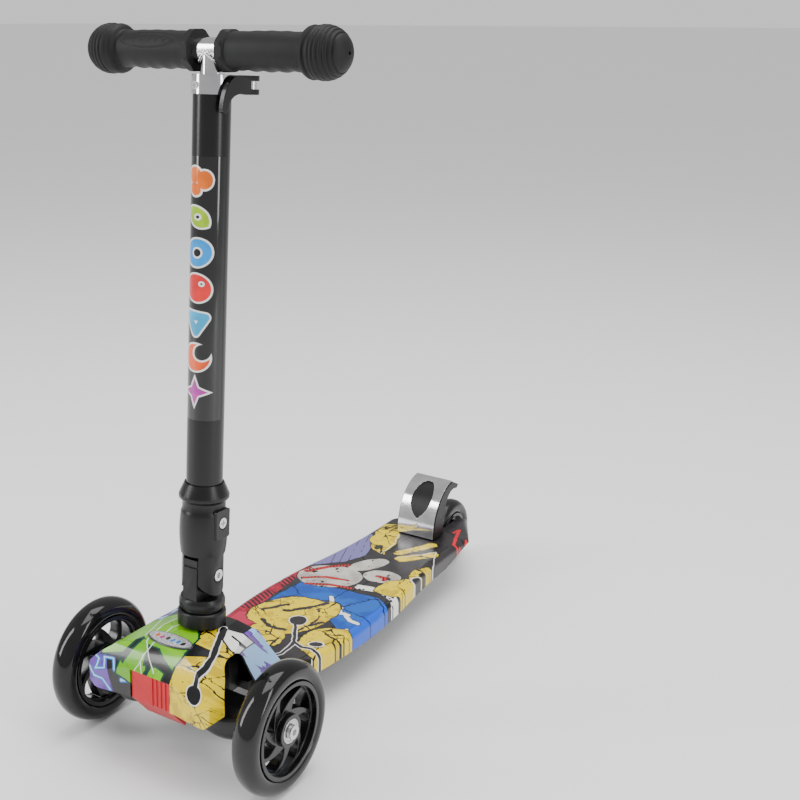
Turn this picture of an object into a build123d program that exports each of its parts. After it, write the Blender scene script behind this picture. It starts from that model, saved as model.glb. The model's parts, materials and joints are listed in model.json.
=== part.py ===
from build123d import *
from math import cos, radians, sin, sqrt
import os

# Three-wheeled kick scooter for a child: lean-to-steer truck, folding stem, telescopic bar.
# Millimetres. +Z is up, the front faces -Y, and the bar lies along X. The origin is on
# the floor, in the symmetry plane, at the middle of the overall length.

# ---- driving dimensions -------------------------------------------------------------
overall_length = 610.0        # front of the front wheels to the back of the rear wheel
front_wheel_d = 120.0
front_wheel_w = 25.0
rear_wheel_d = 80.0
rear_wheel_w = 23.0
track_half = 106.5            # middle of a front tyre to the symmetry plane
head_setback = 24.5           # stem axis behind the front axle, at the collar
head_z = 125.0                # height on the stem axis that stem distances start from
stem_lean = 3.1               # degrees, backwards
bar_height = 514.0            # along the stem, from head_z to the middle of the bar
bar_half = 137.5              # tip of a grip to the symmetry plane

front_axle_y = -overall_length / 2 + front_wheel_d / 2
front_axle_z = front_wheel_d / 2
rear_axle_y = overall_length / 2 - rear_wheel_d / 2
rear_axle_z = rear_wheel_d / 2
head_y = front_axle_y + head_setback

# ---- clearances ---------------------------------------------------------------------
gap = 0.3                     # between bodies that only pass each other
running = 0.05                # radial, between a hinge pin and its bore
slip = 0.15                   # radial, between telescopic or sliding pieces

# ---- stem, measured along its own axis from head_z ----------------------------------
collar_r = 22.5
collar_low = -4.4
collar_high = 9.5
flange_r = 21.4
flange_low = 12.0
flange_high = 22.0
spigot_r = 12.0
spigot_depth = 28.0           # bottom of the spigot below head_z
fold_s = 45.0                 # fold pivot
fold_pin_r = 4.0
fold_head_r = 5.6
fold_head_depth = 4.5
cheek_r = 19.2
cheek_round = 19.0            # lower end of the cheeks, about the pivot
tongue_half = 8.0             # half thickness along X
tongue_front = 18.6
tongue_back = 13.0
tongue_rise = 16.0            # above the pivot
slot_play = 1.5               # from the tongue's corner to the slot's floor
sleeve_low = 64.5
sleeve_wall = 1.2
sleeve_step = 110.0           # where the sleeve narrows onto the tube
sleeve_high = 131.0
sleeve_screw_s = 96.0
sleeve_screw_r = 5.1
knuckle_high = 108.0
tube_r = 16.75
tube_wall = 1.5
tube_low = 80.0
knuckle_r = tube_r + 1.65
sleeve_bore_r = knuckle_r + gap
clamp_low = 477.5
clamp_height = 16.5
clamp_wall = 1.55
ear_half_gap = 1.5
ear_thick = 6.0
ear_reach = 37.0
lever_pin_r = 2.5
cam_r = 7.2
bolt_y = 31.5                 # clamp bolt behind the stem axis
bolt_r = 3.0
bar_r = 11.0
bar_wall = 1.6
bar_tail = 352.0              # length of the inner tube below the bar's axis
guide_length = 26.0

# ---- grips --------------------------------------------------------------------------
grip_r = 17.2
grip_inner = 14.5             # inner face of a grip's flange
grip_flange_r = 18.6
grip_flange_w = 3.6
dome_r = 22.6
dome_start = 99.0
tip_hole_r = 2.5
grip_skin = 3.5               # rubber beyond the end of the bar

# ---- deck ---------------------------------------------------------------------------
deck_top = 60.0
deck_plate = 4.0
skirt_drop = 19.0
skirt_wall = 3.0
deck_edge_r = 7.0
deck_front = 38.0             # behind the stem axis
belly_back = 158.0            # widest place, behind the stem axis
shoulder_ahead = 205.0        # where the sides begin to sweep in, ahead of the rear axle
skirt_rise_ahead = 108.0      # where the skirt starts to rise, ahead of the rear axle
corner_ahead = 47.0           # tail corners, ahead of the rear axle
front_half = 52.0
belly_half = 68.0
shoulder_half = 62.0
corner_half = 54.5
tail_half = 24.0
tail_end = 8.0                # end of the deck, behind the rear axle
tail_lift = 14.0              # rise of the skirt's lower edge at the tail corners
rib_thick = 2.5
rib_pitch = 36.0
rib_half = 44.0
rib_set_up = 2.0              # lower edge of the ribs above the skirt's
rib_lines = (-36.0, -12.0, 12.0, 36.0)
slot_half = 14.6
slot_ahead = 70.0             # front of the tail slot, ahead of the rear axle
fork_wall = 4.5
fork_low = 27.0
fork_ahead = 66.0
fork_behind = 12.0
tread_thick = 0.5
deck_bolt_r = 2.5
deck_bolt_pitch = 36.0
blind_skin = 1.5              # left above the blind bolt holes

# ---- front wheels, rear wheel, axles ------------------------------------------------
bearing_r = 11.0
bearing_bore_r = 4.0
bearing_w = 7.0
core_r = 44.0
rear_core_r = 25.0
hub_r = 15.0
core_web_w = 12.0
core_rim = 4.0
swirl_count = 7
axle_r = 4.0
axle_head_r = 6.5
axle_head_w = 5.0
light_r = 51.0
light_count = 8
light_size = 2.2

# ---- truck and its pivot, measured from the stem axis and the floor ------------------
pivot_ahead = 22.0
pivot_z = 66.0
pivot_rise = 50.0             # degrees, the front end of the pin is the high one
truck_hub_r = 14.0
truck_hub_half = 18.0
bush_r = 9.5
pivot_pin_r = 5.0
lug_r = 12.0
lug_thick = 8.0
lug_half_width = 10.0
arm_low = 41.0
arm_high = 73.0
arm_front = 51.0              # ahead of the stem axis
arm_back = 7.0
arm_tip = 84.0                # outer end of an arm's shell
boss_r = 13.0
boss_face = 90.0              # face that the wheel's inner bearing seats against

# ---- cover --------------------------------------------------------------------------
cover_wall = 3.0
cover_top = 119.0
cover_front = 80.0            # wing tips ahead of the stem axis
cover_middle = 75.0           # middle of the front ahead of the stem axis
cover_back = 61.0             # behind the stem axis
cover_half = 76.0
notch_half = 23.0
notch_top = 97.0
leg_bottom = 69.0
insert_front = 73.5
badge_x = 25.0
badge_y = 10.5
badge_thick = 1.6
badge_ahead = 45.0

# ---- brake, measured from the rear axle ----------------------------------------------
brake_half = 25.0
brake_pin_ahead = 55.0
brake_pin_z = 50.0
brake_pin_r = 2.5
brake_pad_gap = 4.5
brake_plate_t = 1.2
brake_tail_half = 12.5

os.makedirs("parts", exist_ok=True)


def save(piece, label):
    """Label one finished piece and write its STEP file."""
    piece.part.label = label
    export_step(piece.part, f"parts/{label}.step")


stem = Plane(
    origin=(0, head_y, head_z),
    x_dir=(1, 0, 0),
    z_dir=(0, sin(radians(stem_lean)), cos(radians(stem_lean))),
)
stem_side = Plane(origin=stem.origin, x_dir=stem.y_dir, z_dir=(1, 0, 0))
pivot_dir = Vector(0, -cos(radians(pivot_rise)), sin(radians(pivot_rise)))
pivot = Plane(
    origin=(0, head_y - pivot_ahead, pivot_z),
    x_dir=(1, 0, 0),
    z_dir=pivot_dir,
)


def side(x=0.0):
    """Plane of a side view at a given x: local x is Y, local y is Z."""
    return Plane(origin=(x, 0, 0), x_dir=(0, 1, 0), z_dir=(1, 0, 0))


def across(y):
    """Plane of a front view at a given y, its normal pointing forwards."""
    return Plane(origin=(0, y, 0), x_dir=(1, 0, 0), z_dir=(0, -1, 0))


def stem_cross(s):
    """Plane through the stem axis at distance s along it, its normal along X."""
    return Plane(origin=stem.from_local_coords((0, 0, s)), x_dir=stem.y_dir, z_dir=(1, 0, 0))


def axle_plane(x, y, z):
    """Plane square to X at a point."""
    return Plane(origin=(x, y, z), x_dir=(0, 1, 0), z_dir=(1, 0, 0))


# =====================================================================================
# deck
# =====================================================================================
def deck_outline(inset):
    """Footboard outline seen from above, as a face, drawn in by inset."""
    corner_y = rear_axle_y - corner_ahead
    shoulder_y = rear_axle_y - shoulder_ahead
    belly_y = head_y + belly_back
    front_y = head_y + deck_front
    end_y = rear_axle_y + tail_end
    with BuildSketch(Plane.XY) as outline:
        with BuildLine():
            Line((0, front_y), (front_half, front_y))
            flank = ThreePointArc(
                (front_half, front_y), (belly_half, belly_y), (shoulder_half, shoulder_y)
            )
            waist = TangentArc(flank @ 1, (corner_half, corner_y), tangent=flank % 1)
            Polyline(waist @ 1, (tail_half, end_y), (0, end_y))
            mirror(about=Plane.YZ)
        make_face()
        if inset:
            offset(amount=-inset, kind=Kind.INTERSECTION)
    return outline.sketch


deck_bottom = deck_top - skirt_drop
foot_top = deck_top - deck_plate
foot_half = 34.0
deck_bolt_y = head_y + deck_front + 42
tread_front_y = head_y + cover_back + 2
tread_back_y = rear_axle_y - slot_ahead - 14
fork_inner = slot_half
fork_outer = slot_half + fork_wall
with BuildPart() as deck:
    # closed board with rounded upper edges
    with BuildSketch(Plane.XY.offset(deck_bottom)):
        add(deck_outline(0))
    extrude(amount=skirt_drop)
    fillet(deck.faces().sort_by(Axis.Z)[-1].edges(), deck_edge_r)
    # hollow underside
    with BuildSketch(Plane.XY.offset(deck_bottom)):
        add(deck_outline(skirt_wall + 2))
    extrude(amount=skirt_drop - deck_plate, mode=Mode.SUBTRACT)
    # the skirt rises towards the tail corners
    with BuildSketch(side(-belly_half - 5)):
        with BuildLine():
            Polyline(
                (rear_axle_y - skirt_rise_ahead, deck_bottom - 1),
                (rear_axle_y - corner_ahead, deck_bottom + tail_lift),
                (rear_axle_y + tail_end + 1, deck_bottom + tail_lift),
                (rear_axle_y + tail_end + 1, deck_bottom - 1),
                close=True,
            )
        make_face()
    extrude(amount=2 * belly_half + 10, mode=Mode.SUBTRACT)
    # fork walls that carry the rear axle and the brake pin
    for x in (-fork_outer, fork_inner):
        with BuildSketch(side(x)):
            with BuildLine():
                Polyline(
                    (rear_axle_y - fork_ahead, deck_top - deck_plate / 2),
                    (rear_axle_y - fork_ahead, deck_bottom),
                    (rear_axle_y - 20, fork_low),
                    (rear_axle_y + fork_behind, fork_low),
                    (rear_axle_y + fork_behind, rear_axle_z + 8),
                    (rear_axle_y + tail_end - 2, deck_top - deck_plate / 2),
                    close=True,
                )
            make_face()
        extrude(amount=fork_wall)
    # slot for the rear wheel and the brake
    with BuildSketch(Plane.XY.offset(fork_low - 1)):
        with Locations((0, rear_axle_y + (fork_behind + 1 - slot_ahead) / 2)):
            Rectangle(2 * slot_half, slot_ahead + fork_behind + 1)
    extrude(amount=deck_top, mode=Mode.SUBTRACT)
    for y, z, r in (
        (rear_axle_y, rear_axle_z, axle_r + running),
        (rear_axle_y - brake_pin_ahead, brake_pin_z, brake_pin_r + running),
    ):
        with BuildSketch(axle_plane(-belly_half, y, z)):
            Circle(r)
        extrude(amount=2 * belly_half, mode=Mode.SUBTRACT)
    # notch in the front wall for the head frame's foot
    with BuildSketch(across(head_y + deck_front + skirt_wall + 3)):
        with Locations((0, (deck_bottom + foot_top) / 2 - 1)):
            Rectangle(2 * (foot_half + gap), foot_top - deck_bottom + 2)
    extrude(amount=skirt_wall + 5, mode=Mode.SUBTRACT)
    # blind holes for the bolts that come up through the head frame's foot
    with BuildSketch(Plane.XY.offset(deck_bottom)):
        with Locations((0, deck_bolt_y)):
            with GridLocations(deck_bolt_pitch, deck_bolt_pitch, 2, 2):
                Circle(deck_bolt_r + 0.1)
    extrude(amount=skirt_drop - blind_skin, mode=Mode.SUBTRACT)
save(deck, "deck")

# stiffening grid pressed up against the board's underside, clear of the skirt all round
rib_start = head_y + deck_front + 2 * rib_pitch + 10
rib_run = rear_axle_y - fork_ahead - 4 - rib_start
rib_count = int(rib_run // rib_pitch)
with BuildPart() as deck_ribs:
    for index in range(rib_count + 1):
        with BuildSketch(Plane.XY.offset(deck_bottom + rib_set_up)):
            with Locations((0, rib_start + index * rib_pitch)):
                Rectangle(2 * rib_half, rib_thick)
        extrude(amount=foot_top - deck_bottom - rib_set_up)
    for x in rib_lines:
        with BuildSketch(Plane.XY.offset(deck_bottom + rib_set_up)):
            with Locations((x, rib_start + rib_run / 2)):
                Rectangle(rib_thick, rib_run)
        extrude(amount=foot_top - deck_bottom - rib_set_up)
save(deck_ribs, "deck_ribs")

# printed film on the flat of the board, between the cover and the brake
with BuildPart() as deck_tread:
    with BuildSketch(Plane.XY.offset(deck_top)):
        add(deck_outline(deck_edge_r + 1))
        with Locations((0, (tread_front_y + tread_back_y) / 2)):
            Rectangle(4 * belly_half, tread_back_y - tread_front_y, mode=Mode.INTERSECT)
    extrude(amount=tread_thick)
save(deck_tread, "deck_tread")

# =====================================================================================
# head frame: carries the stem, the truck pin and the front of the deck
# =====================================================================================
lug_u = truck_hub_half + 0.5
column_r = 17.0
foot_thick = 9.0
column_low = -36.0
wall_front = 12.0
wall_back = 26.0
wall_half = 22.0
with BuildPart() as head_frame:
    # socket column under the collar
    with BuildSketch(stem.offset(column_low)):
        Circle(column_r)
    extrude(amount=collar_low - column_low)
    # rear wall down to the foot
    with BuildSketch(side(-wall_half)):
        with BuildLine():
            Polyline(
                (head_y, head_z + column_low + 2),
                (head_y + 9, head_z + column_low + 2),
                (head_y + wall_front, foot_top - foot_thick + 20),
                (head_y + wall_front, foot_top - foot_thick),
                (head_y + wall_back, foot_top - foot_thick),
                (head_y + wall_back, head_z + collar_low - 20),
                (head_y + 8, head_z + collar_low - 8),
                close=True,
            )
        make_face()
    extrude(amount=2 * wall_half)
    # foot plate under the deck
    foot_back = deck_front + 72
    with BuildSketch(Plane.XY.offset(foot_top - foot_thick)):
        with Locations((0, head_y + (wall_back + foot_back) / 2)):
            Rectangle(2 * foot_half, foot_back - wall_back)
    extrude(amount=foot_thick)
    # lugs at both ends of the truck's hub, each with a web up to the column or wall
    for start, web in ((lug_u, 36.0), (-lug_u - lug_thick, 44.0)):
        with BuildSketch(pivot.offset(start)):
            Circle(lug_r)
            with Locations((0, web / 2)):
                Rectangle(2 * lug_half_width, web)
        extrude(amount=lug_thick)
    # socket for the knuckle's spigot and its bolt
    with BuildSketch(stem.offset(-spigot_depth)):
        Circle(spigot_r)
    extrude(amount=spigot_depth, mode=Mode.SUBTRACT)
    with BuildSketch(stem.offset(column_low - 30)):
        Circle(axle_r + 0.2)
    extrude(amount=60, mode=Mode.SUBTRACT)
    # pivot pin bore
    with BuildSketch(pivot.offset(-lug_u - lug_thick - 5)):
        Circle(pivot_pin_r + running)
    extrude(amount=2 * (lug_u + lug_thick) + 10, mode=Mode.SUBTRACT)
    # deck bolt holes
    with BuildSketch(Plane.XY.offset(foot_top - foot_thick)):
        with Locations((0, deck_bolt_y)):
            with GridLocations(deck_bolt_pitch, deck_bolt_pitch, 2, 2):
                Circle(deck_bolt_r + 0.1)
    extrude(amount=foot_thick, mode=Mode.SUBTRACT)
save(head_frame, "head_frame")

with BuildPart() as deck_bolts:
    with BuildSketch(Plane.XY.offset(foot_top - foot_thick)):
        with Locations((0, deck_bolt_y)):
            with GridLocations(deck_bolt_pitch, deck_bolt_pitch, 2, 2):
                Circle(deck_bolt_r)
    extrude(amount=foot_thick + deck_plate - blind_skin - gap)
    with BuildSketch(Plane.XY.offset(foot_top - foot_thick)):
        with Locations((0, deck_bolt_y)):
            with GridLocations(deck_bolt_pitch, deck_bolt_pitch, 2, 2):
                RegularPolygon(deck_bolt_r + 2.2, 6)
    extrude(amount=-3.5)
save(deck_bolts, "deck_bolts")

# =====================================================================================
# truck: steering pin, hub, arms
# =====================================================================================
with BuildPart() as pivot_pin:
    with BuildSketch(pivot.offset(-lug_u - lug_thick - 7)):
        Circle(pivot_pin_r)
    extrude(amount=2 * (lug_u + lug_thick) + 7)
    with BuildSketch(pivot.offset(lug_u + lug_thick)):
        Circle(8)
    extrude(amount=5)
save(pivot_pin, "pivot_pin")

with BuildPart() as pivot_nut:
    with BuildSketch(pivot.offset(-lug_u - lug_thick - 6)):
        RegularPolygon(8, 6)
        Circle(pivot_pin_r, mode=Mode.SUBTRACT)
    extrude(amount=6)
save(pivot_nut, "pivot_nut")

with BuildPart() as pivot_bushes:
    for start in (-truck_hub_half, 1.0):
        with BuildSketch(pivot.offset(start)):
            Circle(bush_r)
            Circle(pivot_pin_r + running, mode=Mode.SUBTRACT)
        extrude(amount=truck_hub_half - 1.0)
save(pivot_bushes, "pivot_bushes")

arm_mid_y = head_y - (arm_front + arm_back) / 2
arm_mid_z = (arm_low + arm_high) / 2
with BuildPart() as truck:
    with BuildSketch(pivot.offset(-truck_hub_half)):
        Circle(truck_hub_r)
    extrude(amount=2 * truck_hub_half)
    # each arm is lofted from the hub through a bulky middle to the axle boss
    for hand in (-1, 1):
        sections = (
            (truck_hub_r * 0.5, head_y - pivot_ahead, pivot_z - 2, 20, 20, 7),
            (40.0, arm_mid_y, arm_mid_z, arm_front - arm_back, arm_high - arm_low - 4, 12),
            (62.0, arm_mid_y, arm_mid_z - 1, arm_front - arm_back, arm_high - arm_low, 14),
            (arm_tip, front_axle_y, front_axle_z, 2 * boss_r + 4, 2 * boss_r + 4, 12),
        )
        for x, y, z, width, height, round_r in sections:
            with BuildSketch(axle_plane(hand * x, y, z)):
                RectangleRounded(width, height, round_r)
        loft()
        with BuildSketch(axle_plane(hand * arm_tip, front_axle_y, front_axle_z)):
            Circle(boss_r)
        extrude(amount=hand * (boss_face - arm_tip))
    with BuildSketch(pivot.offset(-truck_hub_half - 30)):
        Circle(bush_r)
    extrude(amount=2 * truck_hub_half + 60, mode=Mode.SUBTRACT)
    # room round the lugs and webs of the head frame at full lean
    for start in (lug_u - 0.5, -lug_u - lug_thick - 8):
        with BuildSketch(pivot.offset(start)):
            with Locations((0, 4)):
                Rectangle(2 * (lug_r + 6), 2 * lug_r + 24)
        extrude(amount=lug_thick + 8.5, mode=Mode.SUBTRACT)
    with BuildSketch(axle_plane(-boss_face, front_axle_y, front_axle_z)):
        Circle(axle_r)
    extrude(amount=boss_face - 50, mode=Mode.SUBTRACT)
    with BuildSketch(axle_plane(50, front_axle_y, front_axle_z)):
        Circle(axle_r)
    extrude(amount=boss_face - 50, mode=Mode.SUBTRACT)
save(truck, "truck")

# =====================================================================================
# front wheels
# =====================================================================================
def polar(r, degrees_up, hand):
    """Point of a wheel's side view at a radius and an angle, mirrored by hand."""
    return (r * cos(radians(degrees_up)), hand * r * sin(radians(degrees_up)))


def swirl_opening(rim_r, hand):
    """One curved opening between two spokes, as a face in a wheel's side view."""
    inner = hub_r + 2.5
    outer = rim_r - core_rim - 1.5
    middle = (inner + outer) / 2
    with BuildSketch(Plane.XY) as opening:
        with BuildLine():
            root = polar(inner, -6, hand)
            first = polar(outer, 16, hand)
            last = polar(outer, 52, hand)
            ThreePointArc(root, polar(middle, -4, hand), first)
            ThreePointArc(first, polar(outer, 34, hand), last)
            ThreePointArc(last, polar(middle, 34, hand), root)
        make_face()
    return opening.sketch


def wheel_core(x, y, z, rim_r, width, hand):
    """Hub, rim and curved spokes; the openings swirl the way hand says."""
    with BuildPart() as core:
        with BuildSketch(axle_plane(x - width / 2, y, z)):
            Circle(rim_r)
            Circle(rim_r - core_rim, mode=Mode.SUBTRACT)
        extrude(amount=width)
        with BuildSketch(axle_plane(x - width / 2, y, z)):
            Circle(hub_r)
        extrude(amount=width)
        with BuildSketch(axle_plane(x - core_web_w / 2, y, z)):
            Circle(rim_r - core_rim / 2)
            if rim_r > 2 * hub_r:
                opening = swirl_opening(rim_r, hand)
                with PolarLocations(0, swirl_count):
                    add(opening, mode=Mode.SUBTRACT)
        extrude(amount=core_web_w)
        with BuildSketch(axle_plane(x - width / 2 - 1, y, z)):
            Circle(bearing_bore_r + 3)
        extrude(amount=width + 2, mode=Mode.SUBTRACT)
        for start in (x - width / 2 - 1, x + width / 2 - bearing_w):
            with BuildSketch(axle_plane(start, y, z)):
                Circle(bearing_r)
            extrude(amount=bearing_w + 1, mode=Mode.SUBTRACT)
    return core


def tyre(x, y, z, outer_r, inner_r, width):
    """Solid tyre with a round tread, revolved about the axle."""
    half = width / 2
    crown = outer_r - half * 0.92
    with BuildPart() as ring:
        with BuildSketch(Plane(origin=(x, y, z), x_dir=(1, 0, 0), z_dir=(0, -1, 0))):
            with BuildLine():
                Polyline((-half + 2.5, inner_r), (-half, inner_r + 2.5), (-half, crown))
                ThreePointArc((-half, crown), (0, outer_r), (half, crown))
                Polyline((half, crown), (half, inner_r + 2.5), (half - 2.5, inner_r))
                Line((half - 2.5, inner_r), (-half + 2.5, inner_r))
            make_face()
        revolve(axis=Axis((x, y, z), (1, 0, 0)))
    return ring


def bearing_pair(x, y, z, width):
    """Two ball bearings flush with the faces of the core."""
    with BuildPart() as pair:
        for start in (x - width / 2, x + width / 2 - bearing_w):
            with BuildSketch(axle_plane(start, y, z)):
                Circle(bearing_r)
                Circle(bearing_bore_r + running, mode=Mode.SUBTRACT)
            extrude(amount=bearing_w)
            for face_x in (start, start + bearing_w - 0.5):
                with BuildSketch(axle_plane(face_x, y, z)):
                    Circle(bearing_r - 1.8)
                    Circle(bearing_bore_r + 1.9, mode=Mode.SUBTRACT)
                extrude(amount=0.5, mode=Mode.SUBTRACT)
    return pair


core_w = front_wheel_w - 1.0
for hand, word in ((-1, "left"), (1, "right")):
    x = hand * track_half
    core = wheel_core(x, front_axle_y, front_axle_z, core_r, core_w, -hand)
    save(core, f"{word}_wheel_core")
    rubber = tyre(x, front_axle_y, front_axle_z, front_wheel_d / 2, core_r, front_wheel_w)
    with BuildPart() as lights:
        with BuildSketch(axle_plane(x - light_size / 2, front_axle_y, front_axle_z)):
            with PolarLocations(light_r, light_count):
                Circle(light_size)
        extrude(amount=light_size)
    with BuildPart() as tyre_ring:
        add(rubber.part)
        add(lights.part, mode=Mode.SUBTRACT)
    save(tyre_ring, f"{word}_tyre")
    save(lights, f"{word}_wheel_lights")
    save(bearing_pair(x, front_axle_y, front_axle_z, core_w), f"{word}_wheel_bearings")

rear_core_w = rear_wheel_w - 1.0
rear_core = wheel_core(0, rear_axle_y, rear_axle_z, rear_core_r, rear_core_w, 1)
save(rear_core, "rear_wheel_core")
rear_tyre = tyre(0, rear_axle_y, rear_axle_z, rear_wheel_d / 2, rear_core_r, rear_wheel_w)
save(rear_tyre, "rear_tyre")
save(bearing_pair(0, rear_axle_y, rear_axle_z, rear_core_w), "rear_wheel_bearings")

# =====================================================================================
# axles
# =====================================================================================
wheel_outer_x = track_half + core_w / 2
wheel_inner_x = track_half - core_w / 2
with BuildPart() as axle_bolts:
    for hand in (-1, 1):
        with BuildSketch(axle_plane(hand * 52, front_axle_y, front_axle_z)):
            Circle(axle_r)
        extrude(amount=hand * (wheel_outer_x + 0.5 - 52))
        with BuildSketch(axle_plane(hand * (wheel_outer_x + 0.5), front_axle_y, front_axle_z)):
            Circle(axle_head_r)
        extrude(amount=hand * 3.0)
        with BuildSketch(axle_plane(hand * (wheel_outer_x + 1.5), front_axle_y, front_axle_z)):
            RegularPolygon(3.2, 6)
        extrude(amount=hand * 3.0, mode=Mode.SUBTRACT)
save(axle_bolts, "front_axle_bolts")

with BuildPart() as axle_spacers:
    for hand in (-1, 1):
        near = hand * boss_face
        with BuildSketch(axle_plane(near, front_axle_y, front_axle_z)):
            Circle(bearing_bore_r + 2.6)
            Circle(axle_r + 0.05, mode=Mode.SUBTRACT)
        extrude(amount=hand * (wheel_inner_x - gap - boss_face))
        with BuildSketch(axle_plane(hand * (wheel_inner_x + bearing_w + gap), front_axle_y, front_axle_z)):
            Circle(bearing_bore_r + 2.0)
            Circle(axle_r + 0.05, mode=Mode.SUBTRACT)
        extrude(amount=hand * (core_w - 2 * bearing_w - 2 * gap))
save(axle_spacers, "front_axle_spacers")

with BuildPart() as rear_axle:
    with BuildSketch(axle_plane(-fork_outer - 9, rear_axle_y, rear_axle_z)):
        Circle(axle_r)
    extrude(amount=2 * fork_outer + 9)
    with BuildSketch(axle_plane(fork_outer, rear_axle_y, rear_axle_z)):
        Circle(axle_head_r)
    extrude(amount=axle_head_w)
    with BuildSketch(axle_plane(fork_outer + 2, rear_axle_y, rear_axle_z)):
        RegularPolygon(3.2, 6)
    extrude(amount=axle_head_w, mode=Mode.SUBTRACT)
save(rear_axle, "rear_axle")

with BuildPart() as rear_nut:
    with BuildSketch(axle_plane(-fork_outer - 7, rear_axle_y, rear_axle_z)):
        RegularPolygon(7.5, 6)
        Circle(axle_r, mode=Mode.SUBTRACT)
    extrude(amount=7)
save(rear_nut, "rear_axle_nut")

with BuildPart() as rear_spacers:
    reach = slot_half - rear_core_w / 2 - gap
    for start in (-slot_half, rear_core_w / 2 + gap):
        with BuildSketch(axle_plane(start, rear_axle_y, rear_axle_z)):
            Circle(bearing_bore_r + 2.0)
            Circle(axle_r + 0.05, mode=Mode.SUBTRACT)
        extrude(amount=reach)
    inner_start = -rear_core_w / 2 + bearing_w + gap
    with BuildSketch(axle_plane(inner_start, rear_axle_y, rear_axle_z)):
        Circle(bearing_bore_r + 2.0)
        Circle(axle_r + 0.05, mode=Mode.SUBTRACT)
    extrude(amount=-2 * inner_start)
save(rear_spacers, "rear_axle_spacers")

# =====================================================================================
# brake
# =====================================================================================
pad_r = rear_wheel_d / 2 + brake_pad_gap
brake_front_y = rear_axle_y - 80.5
# outer curve of the pedal in side view, distances from its front lower corner
pedal_low = (brake_front_y, deck_top + 1.8)
pedal_knee = (brake_front_y + 4.0, deck_top + 28)
pedal_shoulder = (brake_front_y + 18.0, deck_top + 49)
pedal_crown = (brake_front_y + 44.0, deck_top + 61.5)
pedal_tip = (brake_front_y + 59.0, deck_top + 54)


def pad_point(angle):
    """Point of the pad's face, by its angle above the horizontal at the rear axle."""
    a = radians(angle)
    return (rear_axle_y - pad_r * cos(a), rear_axle_z + pad_r * sin(a))


with BuildPart() as brake:
    with BuildSketch(side(-brake_half)):
        with BuildLine():
            front = Spline(pedal_low, pedal_knee, pedal_shoulder, pedal_crown)
            Polyline(front @ 1, pedal_tip, (pedal_tip[0] - 5, pedal_tip[1] - 3.5))
            Spline(
                (pedal_tip[0] - 5, pedal_tip[1] - 3.5),
                (brake_front_y + 37, deck_top + 49),
                (brake_front_y + 26, deck_top + 34),
                (brake_front_y + 23, deck_top + 1.8),
            )
            Line((brake_front_y + 23, deck_top + 1.8), pedal_low)
        make_face()
    extrude(amount=2 * brake_half)
    # narrow lower body in the tail slot, with the pad that meets the tyre
    with BuildSketch(side(-brake_tail_half)):
        with BuildLine():
            Polyline(
                pad_point(14),
                (rear_axle_y - brake_pin_ahead, brake_pin_z - 7),
                (rear_axle_y - brake_pin_ahead - 8, brake_pin_z),
                (brake_front_y + 18, deck_top + 2),
                (brake_front_y + 24, deck_top + 30),
                (brake_front_y + 34, deck_top + 40),
                pad_point(56),
            )
            ThreePointArc(pad_point(56), pad_point(35), pad_point(14))
        make_face()
    extrude(amount=2 * brake_tail_half)
    with BuildSketch(axle_plane(-brake_half, rear_axle_y - brake_pin_ahead, brake_pin_z)):
        Circle(brake_pin_r + running)
    extrude(amount=2 * brake_half, mode=Mode.SUBTRACT)
    # seat for the rivet
    with BuildSketch(across(brake_front_y + 10)):
        with Locations((0, deck_top + 14)):
            Circle(2.0)
    extrude(amount=20, mode=Mode.SUBTRACT)

save(brake, "brake_pedal")

# the bright plate follows the pedal's front, and a leaf-shaped window shows the pedal
plate_out = ((-1, 0), (-0.98, 0.2), (-0.72, 0.7), (-0.15, 1))
pedal_points = (pedal_low, pedal_knee, pedal_shoulder, pedal_crown)
plate_points = [
    (p[0] + brake_plate_t * n[0], p[1] + brake_plate_t * n[1])
    for p, n in zip(pedal_points, plate_out)
]
leaf_low = 23.0               # lower point of the window above the deck
leaf_high = 60.0
leaf_half = 13.0
with BuildPart() as brake_plate:
    with BuildSketch(side(-brake_half + 1.2)):
        with BuildLine():
            inner = Spline(*pedal_points)
            outer = Spline(*plate_points)
            Line(inner @ 0, outer @ 0)
            Line(inner @ 1, outer @ 1)
        make_face()
    extrude(amount=2 * (brake_half - 1.2))
    with BuildSketch(across(brake_front_y + 60)):
        with BuildLine():
            middle = deck_top + (leaf_low + leaf_high) / 2 + 4
            Spline(
                (0, deck_top + leaf_low),
                (leaf_half * 0.62, deck_top + leaf_low + 8),
                (leaf_half, middle),
                (leaf_half * 0.68, deck_top + leaf_high - 3),
                (0, deck_top + leaf_high),
            )
            mirror(about=Plane.YZ)
        make_face()
    extrude(amount=80, mode=Mode.SUBTRACT)
    with BuildSketch(across(brake_front_y + 10)):
        with Locations((0, deck_top + 14)):
            Circle(2.0)
    extrude(amount=20, mode=Mode.SUBTRACT)
save(brake_plate, "brake_plate")

with BuildPart() as brake_rivet:
    rivet_seat = 1.4
    with BuildSketch(across(brake_front_y + 10)):
        with Locations((0, deck_top + 14)):
            Circle(1.9)
    extrude(amount=10 + rivet_seat)
    with BuildSketch(across(brake_front_y - rivet_seat)):
        with Locations((0, deck_top + 14)):
            Circle(3.4)
    extrude(amount=1.2)
save(brake_rivet, "brake_rivet")

with BuildPart() as brake_pin:
    with BuildSketch(axle_plane(-fork_outer - 2, rear_axle_y - brake_pin_ahead, brake_pin_z)):
        Circle(brake_pin_r)
    extrude(amount=2 * fork_outer + 4)
    for start in (-fork_outer - 3.5, fork_outer):
        with BuildSketch(axle_plane(start, rear_axle_y - brake_pin_ahead, brake_pin_z)):
            Circle(4.5)
        extrude(amount=3.5)
save(brake_pin, "brake_pin")

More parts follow.
